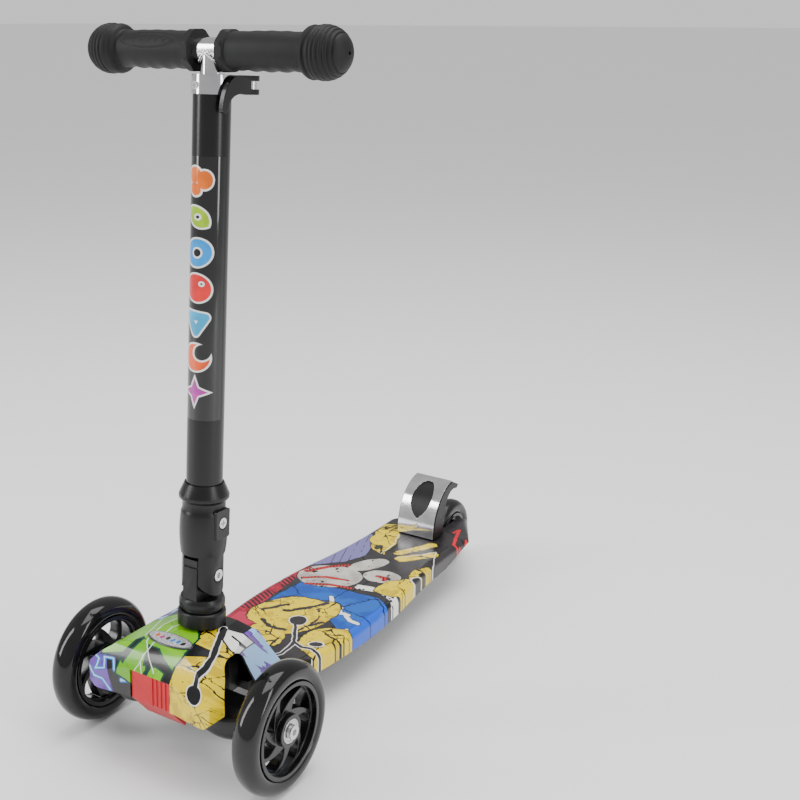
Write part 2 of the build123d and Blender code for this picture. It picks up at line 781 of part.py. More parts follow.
# =====================================================================================
# collar, lower knuckle and its bolt
# =====================================================================================
with BuildPart() as base_collar:
    with BuildSketch(stem_side):
        with BuildLine():
            Polyline(
                (spigot_r, collar_low),
                (collar_r, collar_low),
                (collar_r, collar_high - 1.5),
                (collar_r - 1.5, collar_high),
                (spigot_r + 6, collar_high),
                (spigot_r + 6, collar_high + 1.2),
                (spigot_r, collar_high + 1.2),
                close=True,
            )
        make_face()
    revolve(axis=Axis(stem.origin, stem.z_dir))
save(base_collar, "base_collar")

tongue_top = fold_s + tongue_rise
with BuildPart() as lower_knuckle:
    with BuildSketch(stem.offset(-spigot_depth)):
        Circle(spigot_r - 0.1)
    extrude(amount=collar_high + 2.5 + spigot_depth)
    with BuildSketch(stem_side):
        with BuildLine():
            Polyline(
                (0, collar_high + 1.2),
                (spigot_r + 7, collar_high + 1.2),
                (spigot_r + 7, flange_low),
                (flange_r, flange_low + 1.0),
                (flange_r, flange_high - 3.5),
                (flange_r - 1.5, flange_high),
                (0, flange_high),
                close=True,
            )
        make_face()
    revolve(axis=Axis(stem.origin, stem.z_dir))
    # tongue between the cheeks, flat in front and rounded behind
    with BuildSketch(stem_cross(0)):
        with BuildLine():
            Polyline(
                (tongue_back, flange_high - 1),
                (-tongue_front, flange_high - 1),
                (-tongue_front, tongue_top),
                (0, tongue_top),
            )
            RadiusArc((0, tongue_top), (tongue_back, fold_s + 4), tongue_rise)
            Line((tongue_back, fold_s + 4), (tongue_back, flange_high - 1))
        make_face()
    extrude(amount=tongue_half, both=True)
    # groove across the flat front
    with BuildSketch(stem_cross(0)):
        with Locations((-tongue_front, tongue_top - 7)):
            Rectangle(3, 2)
    extrude(amount=tongue_half, both=True, mode=Mode.SUBTRACT)
    with BuildSketch(stem_cross(0)):
        with Locations((0, fold_s)):
            Circle(fold_pin_r + running)
    extrude(amount=tongue_half, both=True, mode=Mode.SUBTRACT)
    with BuildSketch(stem.offset(-spigot_depth - 1)):
        Circle(axle_r)
    extrude(amount=spigot_depth + 1 + collar_low, mode=Mode.SUBTRACT)
save(lower_knuckle, "lower_knuckle")

with BuildPart() as stem_bolt:
    with BuildSketch(stem.offset(column_low - 4)):
        RegularPolygon(6.5, 6)
    extrude(amount=4)
    with BuildSketch(stem.offset(column_low)):
        Circle(axle_r)
    extrude(amount=-column_low + collar_low)
save(stem_bolt, "stem_bolt")

# =====================================================================================
# folding stem
# =====================================================================================
slot_floor = fold_s + sqrt(tongue_front**2 + tongue_rise**2) + slot_play
cheek_inner = tongue_half + gap
with BuildPart() as upper_knuckle:
    with BuildSketch(stem.offset(fold_s - cheek_round)):
        Circle(cheek_r)
    extrude(amount=sleeve_low - gap - fold_s + cheek_round)
    # rounded lower end about the pivot
    with BuildSketch(stem_cross(0)) as rounding:
        with Locations((0, fold_s)):
            Circle(cheek_round)
        with Locations((0, fold_s + cheek_r)):
            Rectangle(2 * cheek_r + 2, 2 * cheek_r)
    extrude(amount=cheek_r + 1, both=True, mode=Mode.INTERSECT)
    with BuildSketch(stem.offset(sleeve_low - gap)):
        Circle(knuckle_r)
    extrude(amount=knuckle_high - sleeve_low + gap)
    with BuildSketch(stem_cross(0)):
        with Locations((0, (slot_floor + fold_s - cheek_r - 5) / 2)):
            Rectangle(4 * cheek_r, slot_floor - fold_s + cheek_r + 5)
    extrude(amount=cheek_inner, both=True, mode=Mode.SUBTRACT)
    with BuildSketch(stem.offset(tube_low)):
        Circle(tube_r)
    extrude(amount=knuckle_high - tube_low, mode=Mode.SUBTRACT)
    with BuildSketch(stem_cross(0)):
        with Locations((0, fold_s)):
            Circle(fold_pin_r + 0.05)
    extrude(amount=cheek_r + 1, both=True, mode=Mode.SUBTRACT)
    # counterbores for the bolt's heads
    for hand in (-1, 1):
        with BuildSketch(stem_cross(0).offset(hand * (cheek_r - 4.7))):
            with Locations((0, fold_s)):
                Circle(fold_head_r + 0.8)
        extrude(amount=hand * 6, mode=Mode.SUBTRACT)
save(upper_knuckle, "upper_knuckle")

with BuildPart() as fold_bolt:
    with BuildSketch(stem_cross(0)):
        with Locations((0, fold_s)):
            Circle(fold_pin_r)
    extrude(amount=cheek_r - 4.7, both=True)
    for hand in (-1, 1):
        with BuildSketch(stem_cross(0).offset(hand * (cheek_r - 4.7))):
            with Locations((0, fold_s)):
                Circle(fold_head_r)
        extrude(amount=hand * fold_head_depth)
        with BuildSketch(stem_cross(0).offset(hand * (cheek_r - 4.7 + fold_head_depth))):
            with Locations((0, fold_s)):
                RegularPolygon(2.6, 6)
        extrude(amount=-hand * 2.5, mode=Mode.SUBTRACT)
save(fold_bolt, "fold_bolt")

with BuildPart() as lock_sleeve:
    with BuildSketch(stem_side):
        with BuildLine():
            Line((sleeve_bore_r, sleeve_low), (sleeve_bore_r + 1.8, sleeve_low))
            belly = Spline(
                (sleeve_bore_r + 1.8, sleeve_low),
                (sleeve_bore_r + 3.4, sleeve_low + 16),
                (sleeve_bore_r + sleeve_wall + 1.2, sleeve_screw_s + 8),
            )
            Polyline(
                belly @ 1,
                (sleeve_bore_r + sleeve_wall, sleeve_screw_s + 11),
                (sleeve_bore_r + sleeve_wall, sleeve_step + 4),
                (sleeve_bore_r + sleeve_wall + 3.2, sleeve_step + 7),
                (sleeve_bore_r + sleeve_wall + 3.4, sleeve_step + 10),
                (tube_r + 1.6, sleeve_high),
                (tube_r + gap, sleeve_high),
                (tube_r + gap, sleeve_step),
                (sleeve_bore_r, sleeve_step),
                (sleeve_bore_r, sleeve_low),
            )
        make_face()
    revolve(axis=Axis(stem.origin, stem.z_dir))
    # raised panel for the screw on the right-hand side
    with BuildSketch(stem_cross(0).offset(sleeve_bore_r + 0.4)):
        with Locations((0, sleeve_screw_s - 1)):
            RectangleRounded(19, 27, 2)
    extrude(amount=3.5)
    with BuildSketch(stem_cross(0).offset(sleeve_bore_r + 1.6)):
        with Locations((0, sleeve_screw_s)):
            Circle(sleeve_screw_r + 0.8)
    extrude(amount=8, mode=Mode.SUBTRACT)
save(lock_sleeve, "lock_sleeve")

with BuildPart() as sleeve_screw:
    with BuildSketch(stem_cross(0).offset(sleeve_bore_r + 1.6)):
        with Locations((0, sleeve_screw_s)):
            Circle(sleeve_screw_r)
    extrude(amount=2.4)
    with BuildSketch(stem_cross(0).offset(sleeve_bore_r + 4.0)):
        with Locations((0, sleeve_screw_s)):
            Rectangle(5.6, 1.3)
            Rectangle(1.3, 5.6)
    extrude(amount=-1.4, mode=Mode.SUBTRACT)
save(sleeve_screw, "sleeve_screw")

clamp_high = clamp_low + clamp_height
with BuildPart() as outer_tube:
    with BuildSketch(stem.offset(tube_low)):
        Circle(tube_r)
        Circle(tube_r - tube_wall, mode=Mode.SUBTRACT)
    extrude(amount=clamp_high - 1.5 - tube_low)
    # the slit that lets the clamp close the tube
    with BuildSketch(stem_cross(clamp_low)):
        with Locations((tube_r, clamp_height / 2)):
            Rectangle(2 * tube_wall + 6, clamp_height + 14)
    extrude(amount=ear_half_gap, both=True, mode=Mode.SUBTRACT)
save(outer_tube, "outer_tube")

with BuildPart() as top_bushing:
    with BuildSketch(stem.offset(clamp_low - 12)):
        Circle(tube_r - tube_wall)
        Circle(bar_r + slip, mode=Mode.SUBTRACT)
    extrude(amount=clamp_height + 10.5)
    with BuildSketch(stem.offset(clamp_high - 1.5)):
        Circle(tube_r)
        Circle(bar_r + slip, mode=Mode.SUBTRACT)
    extrude(amount=1.5)
save(top_bushing, "top_bushing")

clamp_r = tube_r + clamp_wall
with BuildPart() as clamp:
    with BuildSketch(stem.offset(clamp_low)):
        Circle(clamp_r)
        with Locations((0, ear_reach / 2)):
            Rectangle(2 * (ear_half_gap + ear_thick), ear_reach)
        Circle(tube_r, mode=Mode.SUBTRACT)
        with Locations((0, ear_reach / 2)):
            Rectangle(2 * ear_half_gap, ear_reach, mode=Mode.SUBTRACT)
    extrude(amount=clamp_height)
    fillet(clamp.edges().filter_by(Axis(stem.origin, stem.z_dir)).sort_by(Axis.Y)[-4:], 2.0)
    with BuildSketch(stem_cross(clamp_low).offset(-ear_half_gap - ear_thick)):
        with Locations((bolt_y, clamp_height / 2)):
            Circle(bolt_r + 0.1)
    extrude(amount=2 * (ear_half_gap + ear_thick), mode=Mode.SUBTRACT)
save(clamp, "clamp")

# small socket screw that keeps the clamp on the tube, in a boss at the front
screw_turn = -14.0
screw_plane = Plane(
    origin=stem.from_local_coords((0, 0, clamp_low + clamp_height / 2)),
    x_dir=stem.z_dir,
    z_dir=Vector(sin(radians(screw_turn)), -cos(radians(screw_turn)), 0),
)
with BuildPart() as clamp_screw:
    with BuildSketch(screw_plane.offset(clamp_r - 0.2)):
        Circle(3.4)
    extrude(amount=1.6)
    with BuildSketch(screw_plane.offset(clamp_r + 1.4)):
        RegularPolygon(1.7, 6)
    extrude(amount=-1.1, mode=Mode.SUBTRACT)
    with BuildSketch(stem.offset(clamp_low)):
        Circle(clamp_r)
    extrude(amount=clamp_height, mode=Mode.SUBTRACT)
save(clamp_screw, "clamp_screw")

washer_w = 3.0
ear_face = ear_half_gap + ear_thick
lever_pin_x = ear_face + washer_w + cam_r + 0.3
bolt_mid = clamp_height / 2
fork_gap = 7.0
with BuildPart() as clamp_bolt:
    with BuildSketch(stem_cross(clamp_low).offset(-ear_face)):
        with Locations((bolt_y, bolt_mid)):
            Circle(bolt_r)
    extrude(amount=ear_face + lever_pin_x - 3)
    with BuildSketch(stem_cross(clamp_low).offset(-ear_face - 4)):
        with Locations((bolt_y, bolt_mid)):
            RegularPolygon(5.5, 6)
    extrude(amount=4)
    # eye round the lever's pin
    with BuildSketch(stem.offset(clamp_low + bolt_mid - fork_gap / 2 + gap)):
        with Locations((lever_pin_x, bolt_y)):
            Circle(5.0)
            Circle(lever_pin_r + running, mode=Mode.SUBTRACT)
    extrude(amount=fork_gap - 2 * gap)
save(clamp_bolt, "clamp_bolt")

with BuildPart() as clamp_washer:
    with BuildSketch(stem_cross(clamp_low).offset(ear_face)):
        with Locations((bolt_y, bolt_mid)):
            Circle(5.4)
            Circle(bolt_r + 0.1, mode=Mode.SUBTRACT)
    extrude(amount=washer_w)
save(clamp_washer, "clamp_washer")

lever_inner = clamp_r + 1.6
lever_thick = 4.6
with BuildPart() as lever:
    with BuildSketch(stem.offset(clamp_low)):
        with Locations((lever_pin_x, bolt_y)):
            Circle(cam_r)
    extrude(amount=clamp_height)
    with BuildSketch(stem_cross(clamp_low).offset(lever_inner)):
        with BuildLine():
            Polyline((bolt_y, 0), (bolt_y, clamp_height), (8, clamp_height))
            Spline(
                (8, clamp_height),
                (-7, clamp_height - 6),
                (-14.5, -3),
                (-16, -12),
            )
            ThreePointArc((-16, -12), (-12.5, -15.5), (-8.5, -13))
            Spline((-8.5, -13), (-4, -4), (4, 0), (14, 0))
            Line((14, 0), (bolt_y, 0))
        make_face()
    extrude(amount=lever_thick)
    # fork round the bolt's eye
    with BuildSketch(stem_cross(clamp_low + bolt_mid).offset(ear_face + washer_w)):
        with Locations((bolt_y + 1, 0)):
            Rectangle(2 * cam_r + 4, fork_gap)
    extrude(amount=20, mode=Mode.SUBTRACT)
    with BuildSketch(stem.offset(clamp_low - 1)):
        with Locations((lever_pin_x, bolt_y)):
            Circle(lever_pin_r + running)
    extrude(amount=clamp_height + 2, mode=Mode.SUBTRACT)
save(lever, "quick_release_lever")

with BuildPart() as lever_pin:
    with BuildSketch(stem.offset(clamp_low)):
        with Locations((lever_pin_x, bolt_y)):
            Circle(lever_pin_r)
    extrude(amount=clamp_height)
save(lever_pin, "lever_pin")

# =====================================================================================
# handlebar and grips
# =====================================================================================
bar_centre = stem.from_local_coords((0, 0, bar_height))
grip_end = bar_half - grip_skin
with BuildPart() as handlebar:
    with BuildSketch(Plane(origin=bar_centre - Vector(grip_end, 0, 0), x_dir=(0, 1, 0), z_dir=(1, 0, 0))):
        Circle(bar_r)
    extrude(amount=2 * grip_end)
    with BuildSketch(stem.offset(bar_height - bar_tail)):
        Circle(bar_r)
    extrude(amount=bar_tail)
    with BuildSketch(Plane(origin=bar_centre - Vector(grip_end, 0, 0), x_dir=(0, 1, 0), z_dir=(1, 0, 0))):
        Circle(bar_r - bar_wall)
    extrude(amount=2 * grip_end, mode=Mode.SUBTRACT)
    with BuildSketch(stem.offset(bar_height - bar_tail)):
        Circle(bar_r - bar_wall)
    extrude(amount=bar_tail - bar_r, mode=Mode.SUBTRACT)
save(handlebar, "handlebar")

with BuildPart() as guide:
    with BuildSketch(stem.offset(bar_height - bar_tail)):
        Circle(tube_r - tube_wall - slip)
        Circle(bar_r, mode=Mode.SUBTRACT)
    extrude(amount=guide_length)
save(guide, "bar_guide")


def grip(hand):
    """Rubber grip with an inner flange, a body and a ringed ball end."""
    with BuildPart() as rubber:
        base = Plane(origin=bar_centre, x_dir=(hand, 0, 0), z_dir=(0, -1, 0))
        with BuildSketch(base):
            with BuildLine():
                Polyline(
                    (grip_inner, bar_r),
                    (grip_inner, grip_flange_r - 1),
                    (grip_inner + 1, grip_flange_r),
                    (grip_inner + grip_flange_w, grip_flange_r),
                    (grip_inner + grip_flange_w + 3, grip_r - 1),
                    (dome_start - 4, grip_r),
                    (dome_start, grip_r + 0.8),
                    (dome_start + 5, dome_r - 1.5),
                )
                shoulder = (dome_start + 5, dome_r - 1.5)
                ball_x = bar_half - dome_r
                hole_x = ball_x + sqrt(dome_r**2 - tip_hole_r**2)
                ThreePointArc(shoulder, (ball_x - 5, dome_r - 0.3), (ball_x, dome_r))
                diagonal = dome_r * sin(radians(45))
                ThreePointArc(
                    (ball_x, dome_r),
                    (ball_x + diagonal, diagonal),
                    (hole_x, tip_hole_r),
                )
                Polyline(
                    (hole_x, tip_hole_r),
                    (grip_end, tip_hole_r),
                    (grip_end, bar_r),
                    (grip_inner, bar_r),
                )
            make_face()
        revolve(axis=Axis(bar_centre, (1, 0, 0)))
    return rubber


save(grip(-1), "left_grip")
save(grip(1), "right_grip")

# =====================================================================================
# cover, bumper insert and badge
# =====================================================================================
def cover_block(inset, floor):
    """Space inside the cover's three outlines, each drawn in by inset."""
    with BuildPart() as block:
        with BuildSketch(side(-cover_half - 5)):
            with BuildLine():
                Polyline(
                    (head_y - cover_front, floor),
                    (head_y - cover_front, 84),
                    (head_y - cover_front + 6, 100),
                    (head_y - cover_front + 13, 111),
                    (head_y - cover_front + 24, cover_top),
                    (head_y + 22, cover_top),
                    (head_y + cover_back - 1, deck_top + 2),
                    (head_y + cover_back, floor),
                    close=True,
                )
            make_face()
            if inset:
                offset(amount=-inset, kind=Kind.INTERSECTION)
        extrude(amount=2 * cover_half + 10)
        with BuildSketch(across(head_y + cover_back + 5)):
            with BuildLine():
                Polyline(
                    (0, cover_top),
                    (25, cover_top),
                    (47, 112),
                    (60, 103),
                    (70, 93),
                    (cover_half, 86),
                    (cover_half, 79),
                    (64, leg_bottom),
                    (58, floor),
                    (0, floor),
                )
                mirror(about=Plane.YZ)
            make_face()
            if inset:
                offset(amount=-inset, kind=Kind.INTERSECTION)
        extrude(amount=cover_front + cover_back + 10, mode=Mode.INTERSECT)
        with BuildSketch(Plane.XY.offset(floor - 5)):
            with BuildLine():
                Polyline(
                    (0, head_y - cover_middle),
                    (30, head_y - cover_middle),
                    (58, head_y - cover_front + 1),
                    (70, head_y - cover_front + 2),
                    (cover_half, head_y - cover_front + 16),
                )
                ThreePointArc(
                    (cover_half, head_y - cover_front + 16),
                    (47, head_y - 2),
                    (55, head_y + cover_back),
                )
                Line((55, head_y + cover_back), (0, head_y + cover_back))
                mirror(about=Plane.YZ)
            make_face()
            if inset:
                offset(amount=-inset, kind=Kind.INTERSECTION)
        extrude(amount=cover_top, mode=Mode.INTERSECT)
    return block


with BuildPart() as cover:
    add(cover_block(0, deck_top).part)
    add(cover_block(cover_wall, deck_top - 2 * cover_wall).part, mode=Mode.SUBTRACT)
    # legs end above the truck's arms in front
    with BuildSketch(Plane.XY.offset(deck_top - 1)):
        with Locations((0, head_y - cover_front)):
            Rectangle(4 * cover_half, 2 * (cover_front - 41))
    extrude(amount=leg_bottom - deck_top + 1, mode=Mode.SUBTRACT)
    # arched openings for the arms
    with BuildSketch(side(-cover_half - 5)):
        with BuildLine():
            Polyline(
                (head_y + 24, deck_top - 1),
                (head_y - 55, deck_top - 1),
                (head_y - 53, 90),
            )
            ThreePointArc((head_y - 53, 90), (head_y - 19, 109), (head_y + 6, 90))
            Line((head_y + 6, 90), (head_y + 24, deck_top - 1))
        make_face()
    extrude(amount=2 * cover_half + 10, mode=Mode.SUBTRACT)
    # notch for the insert
    with BuildSketch(across(head_y - cover_front + 20)):
        with Locations((0, (notch_top + deck_top - 1) / 2)):
            Rectangle(2 * notch_half, notch_top - deck_top + 1)
    extrude(amount=30, mode=Mode.SUBTRACT)
    # round the collar
    with BuildSketch(stem.offset(collar_low - 25)):
        Circle(column_r + 0.2)
    extrude(amount=50, mode=Mode.SUBTRACT)
save(cover, "front_cover")

with BuildPart() as insert:
    with BuildSketch(side(-notch_half + gap)):
        with BuildLine():
            Polyline(
                (head_y - insert_front, 69),
                (head_y - insert_front, notch_top - gap),
                (head_y - insert_front + 4, notch_top - gap),
                (head_y - insert_front + 5, 78),
                (head_y - insert_front + 22, 48),
                (head_y - insert_front + 20, 46),
                close=True,
            )
        make_face()
    extrude(amount=2 * (notch_half - gap))
    for index in range(4):
        with BuildSketch(Plane.XY.offset(66)):
            with Locations((3 + 5 * index, head_y - insert_front)):
                Rectangle(2.0, 2.4)
        extrude(amount=40, mode=Mode.SUBTRACT)
save(insert, "bumper_insert")

with BuildPart() as badge:
    with BuildSketch(Plane.XY.offset(cover_top)):
        with Locations((0, head_y - badge_ahead)):
            Ellipse(badge_x, badge_y)
    extrude(amount=badge_thick)
    fillet(badge.faces().sort_by(Axis.Z)[-1].edges(), 0.7)
save(badge, "cover_badge")
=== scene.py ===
import json
from math import cos, exp, pi, radians, sin, sqrt
from random import Random

import bmesh
import bpy
from mathutils import Matrix, Vector


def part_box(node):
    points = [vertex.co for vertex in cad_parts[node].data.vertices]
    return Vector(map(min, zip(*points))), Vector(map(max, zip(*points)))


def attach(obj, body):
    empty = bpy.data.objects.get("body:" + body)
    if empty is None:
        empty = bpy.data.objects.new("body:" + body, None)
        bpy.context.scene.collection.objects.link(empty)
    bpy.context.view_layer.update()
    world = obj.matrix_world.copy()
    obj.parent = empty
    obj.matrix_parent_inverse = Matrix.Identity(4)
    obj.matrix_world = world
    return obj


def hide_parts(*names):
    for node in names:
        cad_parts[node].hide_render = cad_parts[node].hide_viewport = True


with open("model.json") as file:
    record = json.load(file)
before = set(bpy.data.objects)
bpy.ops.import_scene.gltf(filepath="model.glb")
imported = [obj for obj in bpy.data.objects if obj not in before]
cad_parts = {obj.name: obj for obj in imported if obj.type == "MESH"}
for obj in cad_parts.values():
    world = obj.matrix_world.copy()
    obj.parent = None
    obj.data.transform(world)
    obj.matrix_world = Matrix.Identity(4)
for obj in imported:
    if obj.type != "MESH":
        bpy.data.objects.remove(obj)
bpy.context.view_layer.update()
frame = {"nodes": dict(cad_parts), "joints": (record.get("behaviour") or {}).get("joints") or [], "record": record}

MM = 0.001
joints = {j["name"]: j for j in frame["joints"]}
X = Vector((1, 0, 0))
UP = Vector(joints["bar_height"]["axis"]).normalized()
BACK = UP.cross(X)
FOLD_S = 45 * MM
STEM = Vector(joints["stem_fold"]["pos_m"]) - UP * FOLD_S
HEAD_Y = STEM.y
HEAD_Z = STEM.z


def centre(node):
    """Middle of a CAD node's box, in metres."""
    lo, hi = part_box(node)
    return (lo + hi) / 2


def on_stem(x, y, s):
    """Point from distances across, behind and along the stem, in metres."""
    return STEM + X * x + BACK * y + UP * s


# ---- materials ------------------------------------------------------------------------
class Net:
    """Short forms for the nodes of one material."""

    def __init__(self, name):
        self.mat = bpy.data.materials.new(name)
        self.mat.use_nodes = True
        self.tree = self.mat.node_tree
        self.shader = self.tree.nodes["Principled BSDF"]
        self.place = self.tree.nodes.new("ShaderNodeTexCoord").outputs["Object"]

    def new(self, kind, **values):
        node = self.tree.nodes.new(kind)
        for key, value in values.items():
            setattr(node, key, value)
        return node

    def feed(self, socket, value):
        if isinstance(value, bpy.types.NodeSocket):
            self.tree.links.new(value, socket)
        else:
            socket.default_value = value

    def math(self, op, a, b=0.0, c=None, clamp=False):
        node = self.new("ShaderNodeMath", operation=op, use_clamp=clamp)
        self.feed(node.inputs[0], a)
        self.feed(node.inputs[1], b)
        if c is not None:
            self.feed(node.inputs[2], c)
        return node.outputs[0]

    def vmath(self, op, a, b=None, scale=None):
        node = self.new("ShaderNodeVectorMath", operation=op)
        self.feed(node.inputs[0], a)
        if b is not None:
            self.feed(node.inputs[1], b)
        if scale is not None:
            self.feed(node.inputs["Scale"], scale)
        return node.outputs["Value" if op in ("DOT_PRODUCT", "LENGTH", "DISTANCE") else "Vector"]

    def noise(self, scale, detail=3.0, rough=0.55, place=None, color=False):
        node = self.new("ShaderNodeTexNoise")
        self.feed(node.inputs["Vector"], place or self.place)
        node.inputs["Scale"].default_value = scale
        node.inputs["Detail"].default_value = detail
        node.inputs["Roughness"].default_value = rough
        return node.outputs["Color" if color else "Fac"]

    def cracks(self, scale, place):
        """Distance to the edges of a cell pattern."""
        node = self.new("ShaderNodeTexVoronoi", feature="DISTANCE_TO_EDGE")
        self.feed(node.inputs["Vector"], place)
        node.inputs["Scale"].default_value = scale
        return node.outputs["Distance"]

    def ramp(self, value, low, high):
        """Value brought from low..high to 0..1, clamped."""
        return self.math("MULTIPLY_ADD", value, 1.0 / (high - low), -low / (high - low), clamp=True)

    def mix(self, factor, a, b):
        node = self.new("ShaderNodeMix", data_type="RGBA")
        self.feed(node.inputs[0], factor)
        self.feed(node.inputs[6], a)
        self.feed(node.inputs[7], b)
        return node.outputs[2]

    def bump(self, height, distance):
        node = self.new("ShaderNodeBump")
        node.inputs["Distance"].default_value = distance
        self.feed(node.inputs["Height"], height)
        return node.outputs["Normal"]

    def after(self, place, color):
        """The same place, worked out only once a colour is ready. The shift is far too small to see."""
        unseen = 1e-9
        return self.vmath("ADD", place, self.vmath("SCALE", color, scale=unseen))

    # The shapes of a flat drawing take their points and sizes in mm. Each gives a distance in metres,
    # which is negative inside the shape.
    def segment(self, p, a, b):
        """Distance to the straight line between two points."""
        a = Vector((a[0], a[1], 0)) * MM
        b = Vector((b[0], b[1], 0)) * MM
        run = b - a
        rel = self.vmath("SUBTRACT", p, tuple(a))
        share = self.vmath("DOT_PRODUCT", rel, tuple(run))
        along = self.math("MULTIPLY", share, 1 / run.length_squared, clamp=True)
        foot = self.vmath("SCALE", tuple(run), scale=along)
        return self.vmath("DISTANCE", rel, foot)

    def chain(self, p, points, width):
        """Distance to a line through points, less half its width in mm."""
        least = None
        for a, b in zip(points, points[1:]):
            near = self.segment(p, a, b)
            least = near if least is None else self.math("MINIMUM", least, near)
        return self.math("SUBTRACT", least, width * MM / 2)

    def oval(self, p, middle, radii, turn=0.0):
        """Oval with its two radii in mm, turned by degrees."""
        rel = self.vmath("SUBTRACT", p, (middle[0] * MM, middle[1] * MM, 0))
        c, s = cos(radians(turn)), sin(radians(turn))
        u = self.vmath("DOT_PRODUCT", rel, (c / (radii[0] * MM), s / (radii[0] * MM), 0))
        v = self.vmath("DOT_PRODUCT", rel, (-s / (radii[1] * MM), c / (radii[1] * MM), 0))
        squares = self.math("ADD", self.math("MULTIPLY", u, u), self.math("MULTIPLY", v, v))
        reach = self.math("SQRT", squares)
        return self.math("MULTIPLY_ADD", reach, min(radii) * MM, -min(radii) * MM)

    def convex(self, p, corners):
        """Convex shape from its corners, anticlockwise."""
        most = None
        for a, b in zip(corners, corners[1:] + corners[:1]):
            run = Vector((b[0] - a[0], b[1] - a[1]))
            out = Vector((run.y, -run.x)).normalized()
            reach = (out.x * a[0] + out.y * a[1]) * MM
            past = self.math("SUBTRACT", self.vmath("DOT_PRODUCT", p, (out.x, out.y, 0)), reach)
            most = past if most is None else self.math("MAXIMUM", most, past)
        return most

    def join(self, *shapes):
        """All the shapes as one."""
        least = shapes[0]
        for shape in shapes[1:]:
            least = self.math("MINIMUM", least, shape)
        return least

    def cut(self, shape, *others):
        """A shape without the others."""
        for other in others:
            shape = self.math("MAXIMUM", shape, self.math("MULTIPLY", other, -1.0))
        return shape

    def fill(self, under, distance, color, soft=0.25):
        """Color where distance is below zero."""
        inside = self.math("MULTIPLY_ADD", distance, -1 / (2 * soft * MM), 0.5, clamp=True)
        return self.mix(inside, under, color)

    def outlined(self, under, distance, color, ink, line):
        """A filled shape with an ink line round it, as wide as line in mm."""
        under = self.fill(under, self.math("SUBTRACT", distance, line * MM), ink)
        return self.fill(under, distance, color)


def two_tone(net, place, scale, detail, edge, first, second):
    """Soft patches of two colours; edge is the range of the noise over which they blend."""
    return net.mix(net.ramp(net.noise(scale, detail, place=place), *edge), first, second)


def finish(
    net, color, rough, spread=0.06, coat=0.0, coat_rough=0.05, metal=0.0, grain=900, height=0.00003, spec=0.5
):
    """Color and a grained, uneven roughness on the material's shader."""
    shader = net.shader
    net.feed(shader.inputs["Base Color"], color)
    uneven = net.math("MULTIPLY_ADD", net.noise(grain / 12, 4), 2 * spread, rough - spread, clamp=True)
    net.feed(shader.inputs["Roughness"], uneven)
    shader.inputs["Metallic"].default_value = metal
    shader.inputs["Specular IOR Level"].default_value = spec
    shader.inputs["Coat Weight"].default_value = coat
    shader.inputs["Coat Roughness"].default_value = coat_rough
    if height:
        net.feed(shader.inputs["Normal"], net.bump(net.noise(grain, 3), height))
    return net.mat


def plain(name, color, rough, **more):
    """One colour with a faint drift in it."""
    net = Net(name)
    dark = tuple(0.88 * c for c in color) + (1,)
    light = tuple(min(1, 1.1 * c) for c in color) + (1,)
    return finish(net, two_tone(net, net.place, 38, 4, (0.35, 0.65), dark, light), rough, **more)


def metal(name, color, rough, **more):
    return plain(name, color, rough, metal=1.0, spread=0.03, **more)


INK = (0.006, 0.006, 0.007, 1)
DECK_WHITE = (0.84, 0.83, 0.80, 1)
COVER_WHITE = (0.86, 0.86, 0.84, 1)


def hand_drawn(net, u, v, scale, amount):
    """Two flat places from two lengths: the true one, and one made a little uneven for drawn shapes."""
    place = net.new("ShaderNodeCombineXYZ")
    net.feed(place.inputs[0], u)
    net.feed(place.inputs[1], v)
    flat = place.outputs[0]
    wobble = net.noise(scale, 2, place=flat, color=True)
    shift = net.vmath("SCALE", net.vmath("SUBTRACT", wobble, (0.5, 0.5, 0.5)), scale=amount * MM)
    level = net.vmath("MULTIPLY", shift, (1, 1, 0))
    return flat, net.vmath("ADD", flat, level)


def torn(net, place, scale=90, amount=7.0):
    """Place pushed about by fine noise, so lines drawn over it come out ragged."""
    drift = net.vmath("SUBTRACT", net.noise(scale, 4, 0.65, place=place, color=True), (0.5, 0.5, 0.5))
    return net.vmath("ADD", place, net.vmath("SCALE", drift, scale=amount * MM))


def yellow_cracked(net, place, scale=34):
    """Bright yellow with shadows, ragged cracks and short pen strokes."""
    base = two_tone(net, place, 42, 3, (0.52, 0.58), (0.82, 0.61, 0.0, 1), (0.60, 0.42, 0.0, 1))
    rough = torn(net, place)
    thick = net.math("MULTIPLY_ADD", net.noise(30, 2, place=place), 0.15, -0.060)
    base = net.mix(net.math("LESS_THAN", net.cracks(scale, rough), thick), base, INK)
    fine = net.math("MULTIPLY_ADD", net.noise(52, 2, place=place), 0.14, -0.069)
    base = net.mix(net.math("LESS_THAN", net.cracks(scale * 2.6, rough), fine), base, INK)
    return net.mix(net.math("GREATER_THAN", net.noise(60, 3, place=rough), 0.665), base, INK)


def hatched(net, place, base, turn, pitch, width):
    """Pen hatching over a colour; turn in degrees, sizes in mm."""
    c, s = cos(radians(turn)), sin(radians(turn))
    across = net.vmath("DOT_PRODUCT", place, (c, s, 0))
    phase = net.math("FRACT", net.math("DIVIDE", across, pitch * MM))
    line = net.math("LESS_THAN", phase, width / pitch)
    broken = net.math("GREATER_THAN", net.noise(46, 3, place=place), 0.47)
    return net.mix(net.math("MULTIPLY", line, broken), base, INK)


def draw(net, flat, p, col, layers):
    """Layers drawn one over the other.

    Each waits for the one below it. Worked out all at once, so many shapes overflow the renderer.
    """
    for layer in layers:
        flat = net.after(flat, col)
        p = net.after(p, col)
        col = layer(net, flat, p, col)
    return col


# ---- the deck's print, in mm to the right of and behind the scooter's middle ----
def charcoal(net, flat):
    return two_tone(net, flat, 20, 3, (0.4, 0.6), (0.020, 0.017, 0.019, 1), (0.034, 0.029, 0.032, 1))


